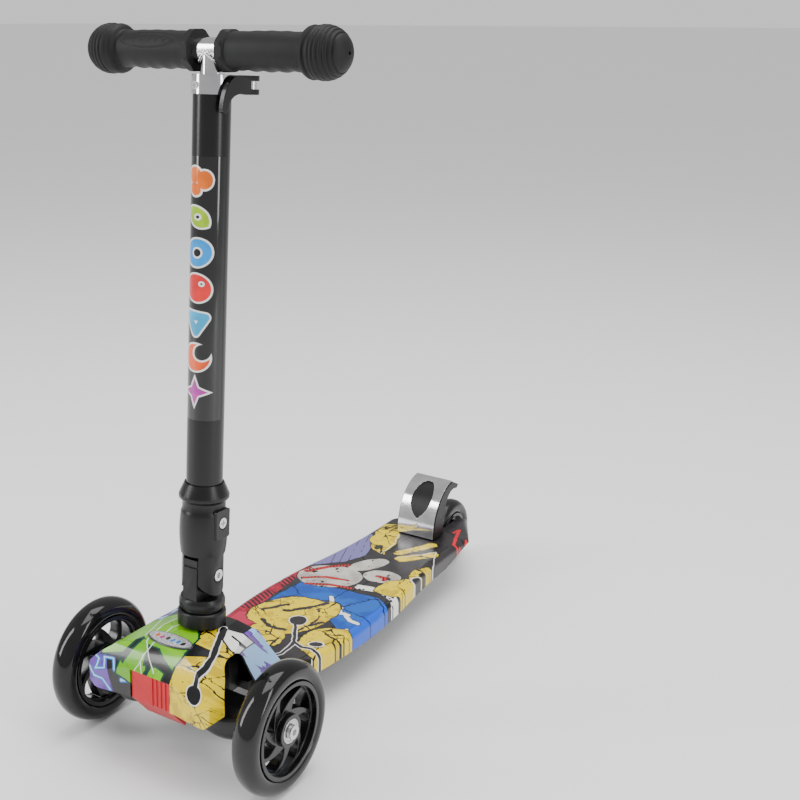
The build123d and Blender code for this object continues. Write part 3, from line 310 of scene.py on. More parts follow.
def crimson_edge(net, flat, p, col):
    """Left edge: crimson in front, hatched red beside the middle."""
    crimson = two_tone(net, flat, 70, 3, (0.48, 0.54), (0.40, 0.006, 0.035, 1), (0.28, 0.004, 0.022, 1))
    front = net.convex(p, [(-80, -150), (-26, -132), (-8, -128), (-12, -104), (-36, -74), (-80, -78)])
    col = net.outlined(col, front, crimson, INK, 0.8)
    bright = net.convex(p, [(-54, -112), (-34, -116), (-24, -98), (-40, -84), (-56, -92)])
    col = net.outlined(col, bright, (0.48, 0.015, 0.06, 1), INK, 0.4)
    behind = net.convex(p, [(-80, -84), (-46, -82), (-50, -14), (-54, 40), (-80, 44)])
    return net.fill(col, behind, hatched(net, flat, crimson, 62, 5.0, 2.3))


def lavender_edge(net, flat, p, col):
    """Left edge, towards the brake."""
    edge = net.convex(p, [(-80, 46), (-56, 48), (-30, 76), (-20, 104), (-32, 146), (-46, 160), (-80, 160)])
    lavender = hatched(net, flat, (0.17, 0.155, 0.36, 1), 20, 9.0, 0.8)
    return net.outlined(col, edge, lavender, INK, 0.8)


def blue_field(net, flat, p, col):
    """Large blue shape across the middle and over the right edge."""
    blue = two_tone(net, flat, 30, 3, (0.46, 0.56), (0.0, 0.06, 0.36, 1), (0.0, 0.10, 0.48, 1))
    side = net.math("GREATER_THAN", net.vmath("DOT_PRODUCT", flat, (1, 0, 0)), 60 * MM)
    blue = net.mix(side, blue, (0.0, 0.09, 0.66, 1))
    blue = net.fill(blue, net.math("SUBTRACT", net.cracks(20, torn(net, flat)), 0.010), INK)
    field = net.join(
        net.convex(p, [(-46, -50), (34, -50), (50, 18), (8, 14), (-42, 4)]),
        net.convex(p, [(30, -50), (92, -100), (92, -8), (48, 18)]),
    )
    return net.outlined(col, field, blue, INK, 0.9)


def speckled_band(net, flat, p, col):
    """Band round the rear end of the blue."""
    dots = net.new("ShaderNodeTexVoronoi")
    net.feed(dots.inputs["Vector"], flat)
    dots.inputs["Scale"].default_value = 210
    speckled = net.mix(net.math("LESS_THAN", dots.outputs["Distance"], 0.36), DECK_WHITE, INK)
    band = net.chain(p, [(18, 30), (42, 35), (64, 27), (78, 8), (80, -14)], 11.0)
    return net.outlined(col, band, speckled, INK, 0.9)


def grey_plates(net, flat, p, col):
    """Pale ovals behind the blue."""
    grey = two_tone(net, flat, 34, 3, (0.44, 0.58), (0.56, 0.53, 0.48, 1), (0.36, 0.33, 0.30, 1))
    worn = net.math("GREATER_THAN", net.noise(48, 4, 0.7, place=torn(net, flat)), 0.60)
    grey = net.mix(worn, grey, INK)
    plates = net.join(
        net.oval(p, (-24, 34), (36, 28), 28),
        net.oval(p, (24, 66), (21, 15), 24),
        net.oval(p, (-4, 84), (12, 26), -28),
    )
    return net.outlined(col, plates, grey, INK, 1.0)


def red_strokes(net, flat, p, col):
    """Hatched red strokes over the plates."""
    strokes = net.join(
        net.chain(p, [(-52, 30), (-38, 54), (-22, 70)], 5.0),
        net.chain(p, [(-46, 14), (-26, 30), (-2, 36)], 4.0),
        net.chain(p, [(-34, 4), (-12, 16), (12, 22)], 4.4),
        net.chain(p, [(20, 64), (30, 66), (31, 60)], 5.0),
        net.chain(p, [(-62, 20), (-54, 40)], 3.0),
    )
    return net.outlined(col, strokes, hatched(net, flat, (0.48, 0.008, 0.010, 1), 28, 3.6, 1.1), INK, 0.5)


def pale_bars(net, flat, p, col):
    """Short pale bars over the blue."""
    bent = [
        net.chain(p, [(x, -4 - 0.75 * x), (x + 14, -24 - 0.5 * x), (x + 22, -20 - 0.6 * x)], 5.0)
        for x in (6, 21, 38)
    ]
    straight = [
        net.chain(p, [(x, -62 - 0.4 * (x - 60)), (x + 9, -84 - 0.4 * (x - 60))], 3.4)
        for x in (58, 70)
    ]
    return net.outlined(col, net.join(*bent, *straight), DECK_WHITE, INK, 0.9)


def yellow_front(net, flat, p, col):
    """Large yellow shapes in front."""
    yellow = yellow_cracked(net, flat)
    ragged = torn(net, p, 52, 11.0)
    front = net.join(
        net.oval(ragged, (-14, -62), (29, 44), -30),
        net.oval(ragged, (12, -62), (20, 46), -10),
        net.oval(ragged, (-4, -118), (24, 20), -40),
        net.oval(ragged, (60, -94), (30, 31), 10),
        net.oval(ragged, (86, -134), (16, 15), 0),
    )
    front = net.cut(front, net.convex(ragged, [(-44, -84), (-30, -78), (-22, -96), (-40, -104)]))
    return net.outlined(col, front, yellow, INK, 1.0)


def dark_patches(net, flat, p, col):
    """Dark strokes over the front yellow."""
    ragged = torn(net, p, 52, 11.0)
    patches = net.join(
        net.chain(ragged, [(-38, -72), (-22, -50)], 5.0),
        net.chain(ragged, [(-16, -62), (0, -42), (10, -24)], 6.0),
        net.chain(ragged, [(-24, -92), (-10, -100), (6, -98)], 6.0),
        net.chain(ragged, [(22, -74), (30, -62)], 5.0),
        net.chain(ragged, [(-38, -40), (-20, -24), (8, -18)], 2.6),
        net.chain(ragged, [(10, -40), (22, -56), (20, -92)], 3.0),
        net.chain(ragged, [(-14, -124), (4, -132), (14, -118)], 2.4),
        net.chain(ragged, [(44, -84), (62, -72), (74, -90)], 2.0),
    )
    return net.fill(col, patches, charcoal(net, flat))


def yellow_rear(net, flat, p, col):
    """Yellow shapes along the middle and towards the brake."""
    ragged = torn(net, p, 52, 11.0)
    tail = net.join(
        net.convex(
            ragged, [(-24, 122), (-4, 118), (-8, 146), (-16, 176), (-36, 204), (-50, 196), (-40, 144)],
        ),
        net.chain(ragged, [(8, 130), (30, 174)], 10.0),
        net.chain(ragged, [(18, 118), (42, 148)], 14.0),
        net.oval(ragged, (58, 58), (19, 34), -35),
        net.oval(ragged, (64, 102), (17, 27), -12),
    )
    tail = net.cut(
        tail,
        net.oval(ragged, (66, 104), (6, 14), -10),
        net.oval(ragged, (-20, 132), (5, 8), 0),
        net.chain(ragged, [(46, 66), (66, 40)], 1.4),
    )
    return net.outlined(col, tail, yellow_cracked(net, flat), INK, 1.0)


def dark_drops(net, flat, p, col):
    """Drops and their lines, with a pale line round them."""
    drops = net.join(
        net.oval(p, (7, -73), (9, 10), 20),
        net.oval(p, (50, -104), (7, 4.5), 30),
        net.oval(p, (60, 88), (5, 11), -20),
        net.chain(p, [(8, -80), (20, -98), (30, -113), (33, -138), (22, -162)], 3.6),
        net.chain(p, [(30, -112), (42, -117), (52, -114), (70, -119), (92, -122)], 3.6),
    )
    return net.outlined(col, drops, charcoal(net, flat), DECK_WHITE, 1.0)


def pale_lines(net, flat, p, col):
    """Thin pale lines over the yellow."""
    lines = net.join(
        net.chain(p, [(11, 117), (28, 138), (42, 158), (56, 126), (62, 104)], 0.9),
        net.chain(p, [(60, 76), (76, 62), (76, 76), (62, 112), (62, 132), (74, 128)], 0.9),
        net.chain(p, [(60, -127), (76, -146), (92, -150)], 0.9),
        net.chain(p, [(-8, 118), (-10, 150), (-18, 176)], 0.8),
    )
    return net.fill(col, lines, DECK_WHITE)


def red_lightning(net, flat, p, col):
    """Jagged red lines beside the brake."""
    jagged = [(32, 222), (34, 232), (42, 206), (48, 190), (58, 191), (57, 170), (68, 164), (66, 150)]
    reds = net.join(net.chain(p, jagged, 4.0), net.chain(p, [(52, 214), (60, 200), (54, 196)], 2.6))
    return net.outlined(col, reds, (0.66, 0.0, 0.012, 1), INK, 0.7)


# from the bottom layer up
DECK_LAYERS = (
    crimson_edge, lavender_edge, blue_field, speckled_band,
    grey_plates, red_strokes, pale_bars, yellow_front,
    dark_patches, yellow_rear, dark_drops, pale_lines,
    red_lightning,
)


def deck_print():
    """Loose shapes printed along the board, laid out across and along it."""
    net = Net("deck_print")
    parts = net.new("ShaderNodeSeparateXYZ")
    net.feed(parts.inputs[0], net.place)
    flat, p = hand_drawn(net, parts.outputs[0], parts.outputs[1], 75, 4.0)
    cracked = net.math("SUBTRACT", net.cracks(13, torn(net, flat, 40)), 0.016)
    col = draw(net, flat, p, net.fill(charcoal(net, flat), cracked, INK), DECK_LAYERS)
    return finish(net, col, 0.34, spread=0.05, coat=0.2, coat_rough=0.16, height=0.00002, spec=0.35)


# ---- the cover's print, in mm to the right of the stem and up the slope ----
def violet(net, flat):
    return two_tone(net, flat, 40, 2, (0.46, 0.54), (0.09, 0.02, 0.27, 1), (0.17, 0.07, 0.42, 1))


def cover_place(net):
    """Place across, behind and above the foot of the stem."""
    rel = net.vmath("SUBTRACT", net.place, (0, HEAD_Y, HEAD_Z - 6 * MM))
    parts = net.new("ShaderNodeSeparateXYZ")
    net.feed(parts.inputs[0], rel)
    return parts.outputs


def violet_end(net, flat, p, col):
    """Violet over the left end."""
    corners = [(-92, -150), (-30, -150), (-14, -102), (-30, -84), (-56, -78), (-62, -56), (-92, -56)]
    return net.outlined(col, net.convex(p, corners), violet(net, flat), INK, 1.0)


def light_waves(net, flat, p, col):
    """Light blue waves over the violet."""
    longest = [(-70, -92), (-60, -98), (-62, -110), (-52, -106), (-54, -94), (-44, -92), (-40, -104)]
    waves = net.join(
        net.chain(p, longest, 1.7),
        net.chain(p, [(-72, -106), (-64, -118), (-54, -118), (-46, -126)], 1.5),
        net.chain(p, [(-36, -92), (-30, -100), (-34, -112), (-24, -108), (-22, -98)], 1.6),
    )
    return net.outlined(col, waves, (0.40, 0.70, 0.95, 1), (0.01, 0.16, 0.55, 1), 1.3)


def yellow_leg(net, flat, p, col):
    """Right end: cracked yellow from the collar down the leg."""
    yellow = yellow_cracked(net, flat, 38)
    leg = net.join(
        net.convex(p, [(23, -150), (84, -150), (84, -58), (58, -30), (24, -62)]),
        net.convex(p, [(20, -36), (56, -36), (30, 2), (8, 2)]),
    )
    return net.outlined(col, leg, yellow, INK, 1.0)


def green_arrows(net, flat, p, col):
    """Green shapes with dark edges."""
    green = two_tone(net, flat, 20, 2, (0.42, 0.58), (0.13, 0.42, 0.0, 1), (0.20, 0.54, 0.0, 1))
    cracked = net.math("SUBTRACT", net.cracks(24, torn(net, flat)), 0.006)
    green = net.fill(green, cracked, (0.05, 0.22, 0.01, 1))
    arrows = net.join(
        net.convex(p, [(-58, -90), (-36, -80), (-24, -50), (-28, -8), (-42, -12), (-54, -52)]),
        net.convex(
            p, [(-46, -36), (-14, -60), (20, -60), (18, -28), (6, -14), (-8, -2), (-28, 2), (-42, -12)],
        ),
        net.convex(p, [(8, -70), (22, -80), (25, -58), (18, -28), (-10, -50)]),
        net.convex(p, [(-38, -106), (-14, -112), (-6, -92), (-16, -56), (-30, -56)]),
        net.convex(p, [(-6, -120), (8, -122), (14, -88), (0, -84)]),
    )
    arrows = net.cut(
        arrows,
        net.convex(p, [(-38, -88), (-32, -94), (-22, -56), (-27, -50)]),
        net.convex(p, [(-10, -88), (8, -84), (6, -70), (-4, -60), (-12, -70)]),
    )
    return net.outlined(col, arrows, green, (0.0, 0.045, 0.030, 1), 2.2)


def pale_strands(net, flat, p, col):
    """Pale curved lines from the collar over the front."""
    strands = net.join(
        net.chain(p, [(-42, -8), (-32, -34), (-26, -50)], 0.9),
        net.chain(p, [(-22, 2), (-26, -26), (-18, -58), (4, -92)], 0.9),
        net.chain(p, [(-8, 0), (-16, -24), (-10, -54), (-14, -84), (-6, -104), (-10, -126)], 0.9),
        net.chain(p, [(-14, -84), (-20, -104), (-10, -126)], 0.8),
    )
    return net.fill(col, strands, COVER_WHITE)


def cover_drop(net, flat, p, col):
    """Dark drop on its line, over the yellow."""
    drop = net.join(
        net.oval(p, (51, -98), (7.5, 10.5), 8),
        net.chain(p, [(51, -92), (49, -76), (47, -60), (43, -44), (35, -24), (24, 2)], 4.6),
    )
    return net.outlined(col, drop, INK, COVER_WHITE, 1.0)


def rear_side(net, flat, p, col):
    """Over the arch and down the cover's rear side."""
    x, y, z = cover_place(net)
    behind = net.math("SUBTRACT", -10 * MM, y)
    outer = net.math("SUBTRACT", 40 * MM, net.math("ABSOLUTE", x))
    rear = net.math("MAXIMUM", behind, outer)
    cracked = net.math("LESS_THAN", net.cracks(36, torn(net, flat)), 0.10)
    blue = net.mix(cracked, violet(net, flat), (0.30, 0.55, 0.90, 1))
    col = net.outlined(col, rear, blue, INK, 1.0)
    high = net.math("SUBTRACT", -15 * MM, z)
    pale = net.convex(p, [(34, -14), (48, -24), (60, -22), (60, -4), (40, 6), (28, 2)])
    col = net.outlined(col, net.math("MAXIMUM", pale, high), COVER_WHITE, INK, 1.6)
    stroke = net.math("MAXIMUM", net.chain(p, [(36, -4), (46, -8), (52, -18)], 2.2), high)
    return net.fill(col, stroke, INK)


# from the bottom layer up
COVER_LAYERS = (violet_end, light_waves, yellow_leg, green_arrows, pale_strands, cover_drop, rear_side)


def cover_print():
    """Print on the front cover, laid out across it and along its slope."""
    net = Net("cover_print")
    x, y, z = cover_place(net)
    flat, p = hand_drawn(net, x, net.math("ADD", y, z), 70, 2.4)
    ground = two_tone(net, flat, 30, 2, (0.4, 0.6), INK, (0.016, 0.016, 0.018, 1))
    col = draw(net, flat, p, ground, COVER_LAYERS)
    return finish(net, col, 0.18, spread=0.04, coat=0.35, coat_rough=0.05, height=0.000008, spec=0.35)


# ---- the tube's marks, each round a place s up the stem, in mm ----
def blob(net, p, s):
    return net.join(
        net.oval(p, (-5, s + 5), (8, 7), 20),
        net.oval(p, (6, s + 1), (7.5, 8), 0),
        net.oval(p, (-4, s - 7), (7, 5.5), -20),
    )


def leaf(net, p, s):
    lower = net.oval(p, (-4, s - 4), (15, 13), 0)
    upper = net.oval(p, (4, s + 4), (15, 13), 0)
    return net.cut(net.math("MAXIMUM", lower, upper), net.oval(p, (0, s), (4, 3), 0))


def ring(net, p, s):
    return net.cut(net.oval(p, (0, s), (14, 12), 10), net.oval(p, (0, s), (5.5, 5), 10))


def dot(net, p, s):
    return net.cut(net.oval(p, (0, s), (14, 12), -15), net.oval(p, (5, s + 4), (3, 2.4), 0))


def triangle(net, p, s):
    return net.chain(p, [(-9, s + 7), (9, s + 5), (0, s - 8), (-9, s + 7)], 7.5)


def crescent(net, p, s):
    return net.cut(net.oval(p, (0, s), (14, 12), 0), net.oval(p, (7, s + 5), (10, 8.5), 20))


def star(net, p, s):
    level = net.convex(p, [(-13, s), (0, s - 5), (13, s), (0, s + 5)])
    upright = net.convex(p, [(-5, s), (0, s - 12), (5, s), (0, s + 12)])
    return net.join(level, upright)


# marks from the top down, each with its colour
MARKS = (
    (blob, (0.90, 0.17, 0.0)),
    (leaf, (0.38, 0.66, 0.0)),
    (ring, (0.0, 0.30, 0.78)),
    (dot, (0.86, 0.02, 0.02)),
    (triangle, (0.02, 0.46, 0.84)),
    (crescent, (0.90, 0.09, 0.0)),
    (star, (0.52, 0.02, 0.40)),
)


def sticker_print():
    """Dark film down the tube with a column of plain rounded marks."""
    net = Net("sticker_print")
    rel = net.vmath("SUBTRACT", net.place, tuple(STEM))
    across = net.vmath("DOT_PRODUCT", rel, tuple(X))
    ahead = net.vmath("DOT_PRODUCT", rel, tuple(-BACK))
    along = net.vmath("DOT_PRODUCT", rel, tuple(UP))
    film_r = 16.8
    u = net.math("MULTIPLY", net.math("ARCTAN2", across, ahead), film_r * MM)
    flat, p = hand_drawn(net, u, along, 60, 0.6)
    col = two_tone(net, net.place, 30, 2, (0.4, 0.6), (0.004, 0.004, 0.0045, 1), (0.008, 0.008, 0.009, 1))
    top_mark = 404
    pitch = 31
    for index, (mark, tone) in enumerate(MARKS):
        dark = tuple(0.72 * c for c in tone)
        shade = two_tone(net, flat, 34, 2, (0.42, 0.6), tone + (1,), dark + (1,))
        shape = mark(net, p, top_mark - pitch * index)
        col = net.outlined(col, shape, shade, (0.86, 0.86, 0.85, 1), 1.5)
    return finish(net, col, 0.10, spread=0.03, coat=0.6, coat_rough=0.03, height=0.000004, spec=0.4)


def smoke():
    """Clear smoky plastic of the front tyres."""
    net = Net("smoke_tyre")
    shader = net.shader
    tint = two_tone(
        net, net.place, 12, 3, (0.35, 0.65), (0.010, 0.0095, 0.010, 1), (0.020, 0.0185, 0.019, 1),
    )
    net.feed(shader.inputs["Base Color"], tint)
    shader.inputs["Transmission Weight"].default_value = 0.22
    shader.inputs["IOR"].default_value = 1.46
    net.feed(shader.inputs["Roughness"], net.math("MULTIPLY_ADD", net.noise(160, 3), 0.05, 0.05))
    shader.inputs["Coat Weight"].default_value = 0.12
    shader.inputs["Specular IOR Level"].default_value = 0.35
    shader.inputs["Coat Roughness"].default_value = 0.04
    net.feed(shader.inputs["Normal"], net.bump(net.noise(300, 2), 0.00001))
    return net.mat


def badge_glitter():
    """Glittering badge with a row of small coloured ovals and a dark rim."""
    net = Net("badge_glitter")
    cells = net.new("ShaderNodeTexVoronoi")
    net.feed(cells.inputs["Vector"], net.place)
    cells.inputs["Scale"].default_value = 1500
    spark = net.new("ShaderNodeSeparateColor")
    net.feed(spark.inputs[0], cells.outputs["Color"])
    tone = net.mix(spark.outputs[0], (0.22, 0.22, 0.25, 1), (0.92, 0.92, 0.96, 1))
    middle = centre("cover_badge")
    rel = net.vmath("SUBTRACT", net.place, tuple(middle))
    p = net.vmath("MULTIPLY", rel, (1, 1, 0))
    orange = (0.80, 0.14, 0.0, 1)
    plum = (0.60, 0.0, 0.25, 1)
    blue = (0.0, 0.25, 0.75, 1)
    inks = (orange, plum, INK, blue, blue, INK)
    first = -15
    pitch = 6
    for index, ink in enumerate(inks):
        spot = (first + pitch * index, 0.4 * (-1) ** index)
        oval = net.oval(p, spot, (2.1, 3.3), 12 - 20 * (index % 2))
        tone = net.outlined(tone, oval, ink, (0.9, 0.9, 0.9, 1), 0.35)
        p = net.after(p, tone)
    rim = net.math("MULTIPLY", net.oval(p, (0, 0), (23.6, 9.2)), -1.0)
    tone = net.fill(tone, rim, (0.05, 0.05, 0.055, 1))
    net.shader.inputs["Metallic"].default_value = 0.45
    net.feed(net.shader.inputs["Base Color"], tone)
    net.feed(net.shader.inputs["Roughness"], net.math("MULTIPLY_ADD", spark.outputs[1], 0.35, 0.2))
    net.shader.inputs["Coat Weight"].default_value = 1.0
    net.shader.inputs["Coat Roughness"].default_value = 0.03
    return net.mat


M = {
    "deck_shell": plain("deck_shell", (0.008, 0.0075, 0.008), 0.34, spec=0.3),
    "deck_print": deck_print(),
    "black_steel": plain("black_steel", (0.006, 0.006, 0.006), 0.38, spec=0.35),
    "zinc_steel": metal("zinc_steel", (0.72, 0.72, 0.73), 0.24),
    "bush_rubber": plain("bush_rubber", (0.008, 0.008, 0.008), 0.7, spec=0.3),
    "truck_plastic": plain(
        "truck_plastic", (0.005, 0.005, 0.0055), 0.24, spec=0.35, coat=0.2, coat_rough=0.12,
    ),
    "core_plastic": plain(
        "core_plastic", (0.005, 0.005, 0.0055), 0.24, spec=0.4, coat=0.25, coat_rough=0.12,
    ),
    "smoke_tyre": smoke(),
    "black_tyre": plain("black_tyre", (0.008, 0.008, 0.0085), 0.30, spec=0.35, coat=0.2, coat_rough=0.15),
    "light_plastic": plain("light_plastic", (0.10, 0.095, 0.09), 0.2, coat=0.5),
    "bearing_steel": metal("bearing_steel", (0.60, 0.60, 0.61), 0.26),
    "brake_plastic": plain("brake_plastic", (0.006, 0.006, 0.0065), 0.40, spec=0.35),
    "bright_plate": metal("bright_plate", (0.86, 0.86, 0.87), 0.10),
    "joint_plastic": plain("joint_plastic", (0.006, 0.006, 0.0065), 0.34, height=0.00004, spec=0.4),
    "black_alloy": plain("black_alloy", (0.007, 0.007, 0.0075), 0.36, spec=0.4),
    "black_tube": plain("black_tube", (0.006, 0.006, 0.0065), 0.26, spread=0.03, height=0.00001, spec=0.4),
    "bright_clamp": metal("bright_clamp", (0.74, 0.74, 0.76), 0.10),
    "lever_plastic": plain(
        "lever_plastic", (0.006, 0.006, 0.0065), 0.26, spec=0.35, coat=0.2, coat_rough=0.12,
    ),
    "bright_tube": metal("bright_tube", (0.80, 0.80, 0.82), 0.07),
    "grip_rubber": plain("grip_rubber", (0.0075, 0.0075, 0.008), 0.56, grain=1600, height=0.00006, spec=0.3),
    "cover_print": cover_print(),
    "red_insert": plain("red_insert", (0.58, 0.004, 0.012), 0.36, spec=0.35, coat=0.1, coat_rough=0.2),
    "badge_plastic": badge_glitter(),
    "sticker_print": sticker_print(),
}
bodies = frame["record"]["behaviour"]["bodies"]
body_of = {node: name for name, nodes in bodies.items() for node in nodes}
slot_of = {part["node"]: part["material_slot"] for part in frame["record"]["subparts"]}


# ---- meshes ---------------------------------------------------------------------------
def piece(name, mesh, node, material=None, replace=True, angle=35, body=None):
    """A finished mesh as a piece that rides with a CAD node's body."""
    mesh.name = name
    obj = bpy.data.objects.new(name, mesh)
    bpy.context.scene.collection.objects.link(obj)
    mesh.materials.clear()
    mesh.materials.append(M[material or slot_of[node]])
    for face in mesh.polygons:
        face.use_smooth = True
    mesh.set_sharp_from_angle(angle=radians(angle))
    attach(obj, body or body_of[node])
    if replace:
        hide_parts(node)
    return obj


def soften(obj, width):
    """Rounded edges on a hard-edged piece, width in mm."""
    bevel = obj.modifiers.new("edges", "BEVEL")
    bevel.width = width * MM
    bevel.segments = 2
    bevel.limit_method = "ANGLE"
    bevel.angle_limit = radians(28)
    bevel.harden_normals = True
    bevel.use_clamp_overlap = True


def copy_node(node, width):
    """New piece from a CAD node's shape with flat faces joined and edges rounded by width in mm."""
    same_point = 0.002
    same_plane = radians(0.6)
    bm = bmesh.new()
    bm.from_mesh(frame["nodes"][node].data)
    bmesh.ops.remove_doubles(bm, verts=bm.verts, dist=same_point * MM)
    bmesh.ops.dissolve_limit(bm, angle_limit=same_plane, verts=bm.verts, edges=bm.edges)
    mesh = bpy.data.meshes.new(node)
    bm.to_mesh(mesh)
    bm.free()
    obj = piece("v_" + node, mesh, node)
    if width:
        soften(obj, width)
    return obj


def ring_mesh(rings, loop=False):
    """Skin through equal rings of points; loop joins the last ring to the first."""
    bm = bmesh.new()
    rows = [[bm.verts.new(point) for point in ring] for ring in rings]
    count = len(rows[0])
    following = rows[1:] + rows[:1] if loop else rows[1:]
    for row, after in zip(rows, following):
        for k in range(count):
            nxt = (k + 1) % count
            bm.faces.new((row[k], row[nxt], after[nxt], after[k]))
    bmesh.ops.recalc_face_normals(bm, faces=bm.faces)
    mesh = bpy.data.meshes.new("skin")
    bm.to_mesh(mesh)
    bm.free()
    return mesh


def lathe(profile, origin, axis, side, count, shape=None, loop=False):
    """Skin turned about an axis from (along, radius) pairs in mm; shape may change each radius."""
    axis = Vector(axis).normalized()
    side = Vector(side).normalized()
    third = axis.cross(side)
    rings = []
    for along, radius in profile:
        ring = []
        for k in range(count):
            a = 2 * pi * k / count
            r = shape(along, a, radius) if shape else radius
            ring.append(origin + axis * (along * MM) + (side * cos(a) + third * sin(a)) * (r * MM))
        rings.append(ring)
    return ring_mesh(rings, loop)


def closed_rod(points, radius, count, taper):
    """Round rod along a closed row of points, in metres; taper gives each point's share of the radius."""
    rings = []
    total = len(points)
    for i, point in enumerate(points):
        along = (points[(i + 1) % total] - points[i - 1]).normalized()
        ref = Vector((0, 0, 1)) if abs(along.z) < 0.9 else X
        side = along.cross(ref).normalized()
        third = along.cross(side)
        r = radius * taper[i]
        turns = [2 * pi * k / count for k in range(count)]
        rings.append([point + (side * cos(a) + third * sin(a)) * r for a in turns])
    return ring_mesh(rings, loop=True)


def merge(*meshes):
    """One mesh from several."""
    bm = bmesh.new()
    for mesh in meshes:
        bm.from_mesh(mesh)
    joined = bpy.data.meshes.new("joined")
    bm.to_mesh(joined)
    bm.free()
    return joined


# ---- grips ----------------------------------------------------------------------------
# Places along a grip are in mm from the middle of the bar.
BAR_HEIGHT = 514
BAR = on_stem(0, 0, BAR_HEIGHT * MM)
FLANGE_END = 27
FLANGE_FLAT_R = 18.9
RIBS_END = 97
RIB_PITCH = 15.5
PANEL_MIDDLE = 61
PANEL_TURN = 0.55
LOZENGE_PITCH = 8.4
BALL_R = 22.6
GRIP_END = 137.5


def bell(x, width):
    return exp(-(x / width) ** 2)


def flange(along, a, r):
    """Radius of the eight-sided flange, which turns round towards its end."""
    half_side = pi / 8
    turn = (a + half_side) % (2 * half_side) - half_side
    octagon = FLANGE_FLAT_R / cos(turn) * cos(half_side) + 0.4
    share = min(1, max(0, (FLANGE_END - along) / 7)) if along > 20 else 1
    return r * (1 - share) + min(r * 1.02, octagon) * share if r > 15 else r


def hold(along, a, r):
    """Radius of the hold, with ribs under and over it and an oval panel of lozenges in front."""
    window = min(1, (along - FLANGE_END) / 6) * min(1, (RIBS_END - along) / 6)
    under = max(0, -sin(a + 0.35)) ** 1.5
    over = max(0, sin(a - 0.15)) ** 4
    wave = 0.5 - 0.5 * cos(2 * pi * (along - 31) / RIB_PITCH)
    r -= window * (1.15 * under * wave + 0.35 * over * wave)
    across = (a - PANEL_TURN) * 17
    oval = sqrt(((along - PANEL_MIDDLE) / 29.0) ** 2 + (across / 7.6) ** 2)
    r -= 0.55 * bell(oval - 1.0, 0.075)
    if oval < 0.82:
        off_middle = abs(((along - PANEL_MIDDLE) / LOZENGE_PITCH + 0.5) % 1 - 0.5)
        lozenge = off_middle / 0.34 + abs(across) / 3.6
        r += 0.45 * (1 / (1 + exp((lozenge - 0.8) / 0.06)))
    return r


def grip_shape(hand):
    """Radius of a grip; hand is -1 for the left one and 1 for the right one."""
    def shape(along, a, r):
        # lathe turns the two grips opposite ways; this makes both angles run from ahead (-Y) towards +Z
        a *= -hand
        if along < FLANGE_END:
            return flange(along, a, r)
        if along > RIBS_END:
            return r
        return hold(along, a, r)
    return shape


def grip_profile():
    """(along, radius) pairs of a grip: flange, hold, ball and the hole in its tip."""
    rows = [
        (14.5, 11.05), (14.5, 16.5), (14.7, 18.2), (15.6, 18.6), (18.0, 18.6), (20.5, 18.5), (22.0, 17.9),
    ]
    hold_start = 23
    hold_r = 16.1
    hold_swell = 0.95
    step = 0.75
    along = float(hold_start)
    while along < RIBS_END + 0.5:
        rows.append((along, hold_r + hold_swell * sin(pi * (along - hold_start) / 76)))
        along += step
    rows += [(98.5, 16.4), (99.2, 17.4), (99.8, 19.0), (100.8, 20.6), (102.5, 21.6), (104.5, 22.1)]
    ball_middle = GRIP_END - BALL_R
    low = -24
    high = 86
    groove_low = -14
    groove_high = 50
    grooves = 6
    steps = 150
    for i in range(steps + 1):
        lift = low + (high - low) * i / steps
        r = BALL_R
        if groove_low < lift < groove_high:
            phase = ((lift - groove_low) / (groove_high - groove_low) * grooves) % 1
            r -= 0.95 * bell(phase - 0.5, 0.20)
        rows.append((ball_middle + r * sin(radians(lift)), r * cos(radians(lift))))
    rows += [(137.35, 2.6), (GRIP_END, 2.2), (137.2, 1.9), (135.0, 1.8), (134.6, 0.3)]
    return rows


for word, hand in (("left", -1), ("right", 1)):
    skin = lathe(grip_profile(), BAR, X * hand, (0, -1, 0), 160, shape=grip_shape(hand))
    piece(f"v_{word}_grip", skin, f"{word}_grip", angle=50)


# ---- bar with its weld ----------------------------------------------------------------
BAR_R = 11
BAR_BORE_R = 9.4
CROSS_HALF = 30
NECK_LENGTH = 352


def weld_bead():
    """Uneven bead round the neck where it meets the crossbar."""
    rng = Random(7)
    count = 96
    neck_r = 11.2
    cross_r = 11.3
    least_drop = 2.6
    points = []
    sizes = []
    for k in range(count):
        a = 2 * pi * k / count
        x = neck_r * cos(a)
        y = neck_r * sin(a)
        drop = max(sqrt(cross_r ** 2 - y ** 2), least_drop)
        points.append(BAR + X * (x * MM) + BACK * (y * MM) - UP * (drop * MM))
        sizes.append(1 + 0.16 * sin(k * 1.7) + 0.08 * rng.uniform(-1, 1))
    return closed_rod(points, 1.7 * MM, 10, sizes)


cross_profile = [
    (-CROSS_HALF, BAR_BORE_R), (-CROSS_HALF, BAR_R), (CROSS_HALF, BAR_R), (CROSS_HALF, BAR_BORE_R),
]
cross = lathe(cross_profile, BAR, X, (0, 0, 1), 72)
neck = lathe([(-NECK_LENGTH, BAR_BORE_R), (-NECK_LENGTH, BAR_R), (-3, BAR_R)], BAR, UP, X, 72)
piece("v_handlebar", merge(cross, neck, weld_bead()), "handlebar", angle=60)

# ---- tube and its sticker -------------------------------------------------------------
TUBE_R = 16.75
TUBE_BORE_R = 15.25
TUBE_FOOT = 80
TUBE_TOP = 492.5
tube_profile = [
    (TUBE_FOOT, TUBE_BORE_R),
    (TUBE_FOOT, TUBE_R),
    (TUBE_TOP - 0.5, TUBE_R),
    (TUBE_TOP, TUBE_R - 0.45),
    (TUBE_TOP, TUBE_BORE_R),
]
piece("v_outer_tube", lathe(tube_profile, STEM, UP, X, 128), "outer_tube", angle=40)


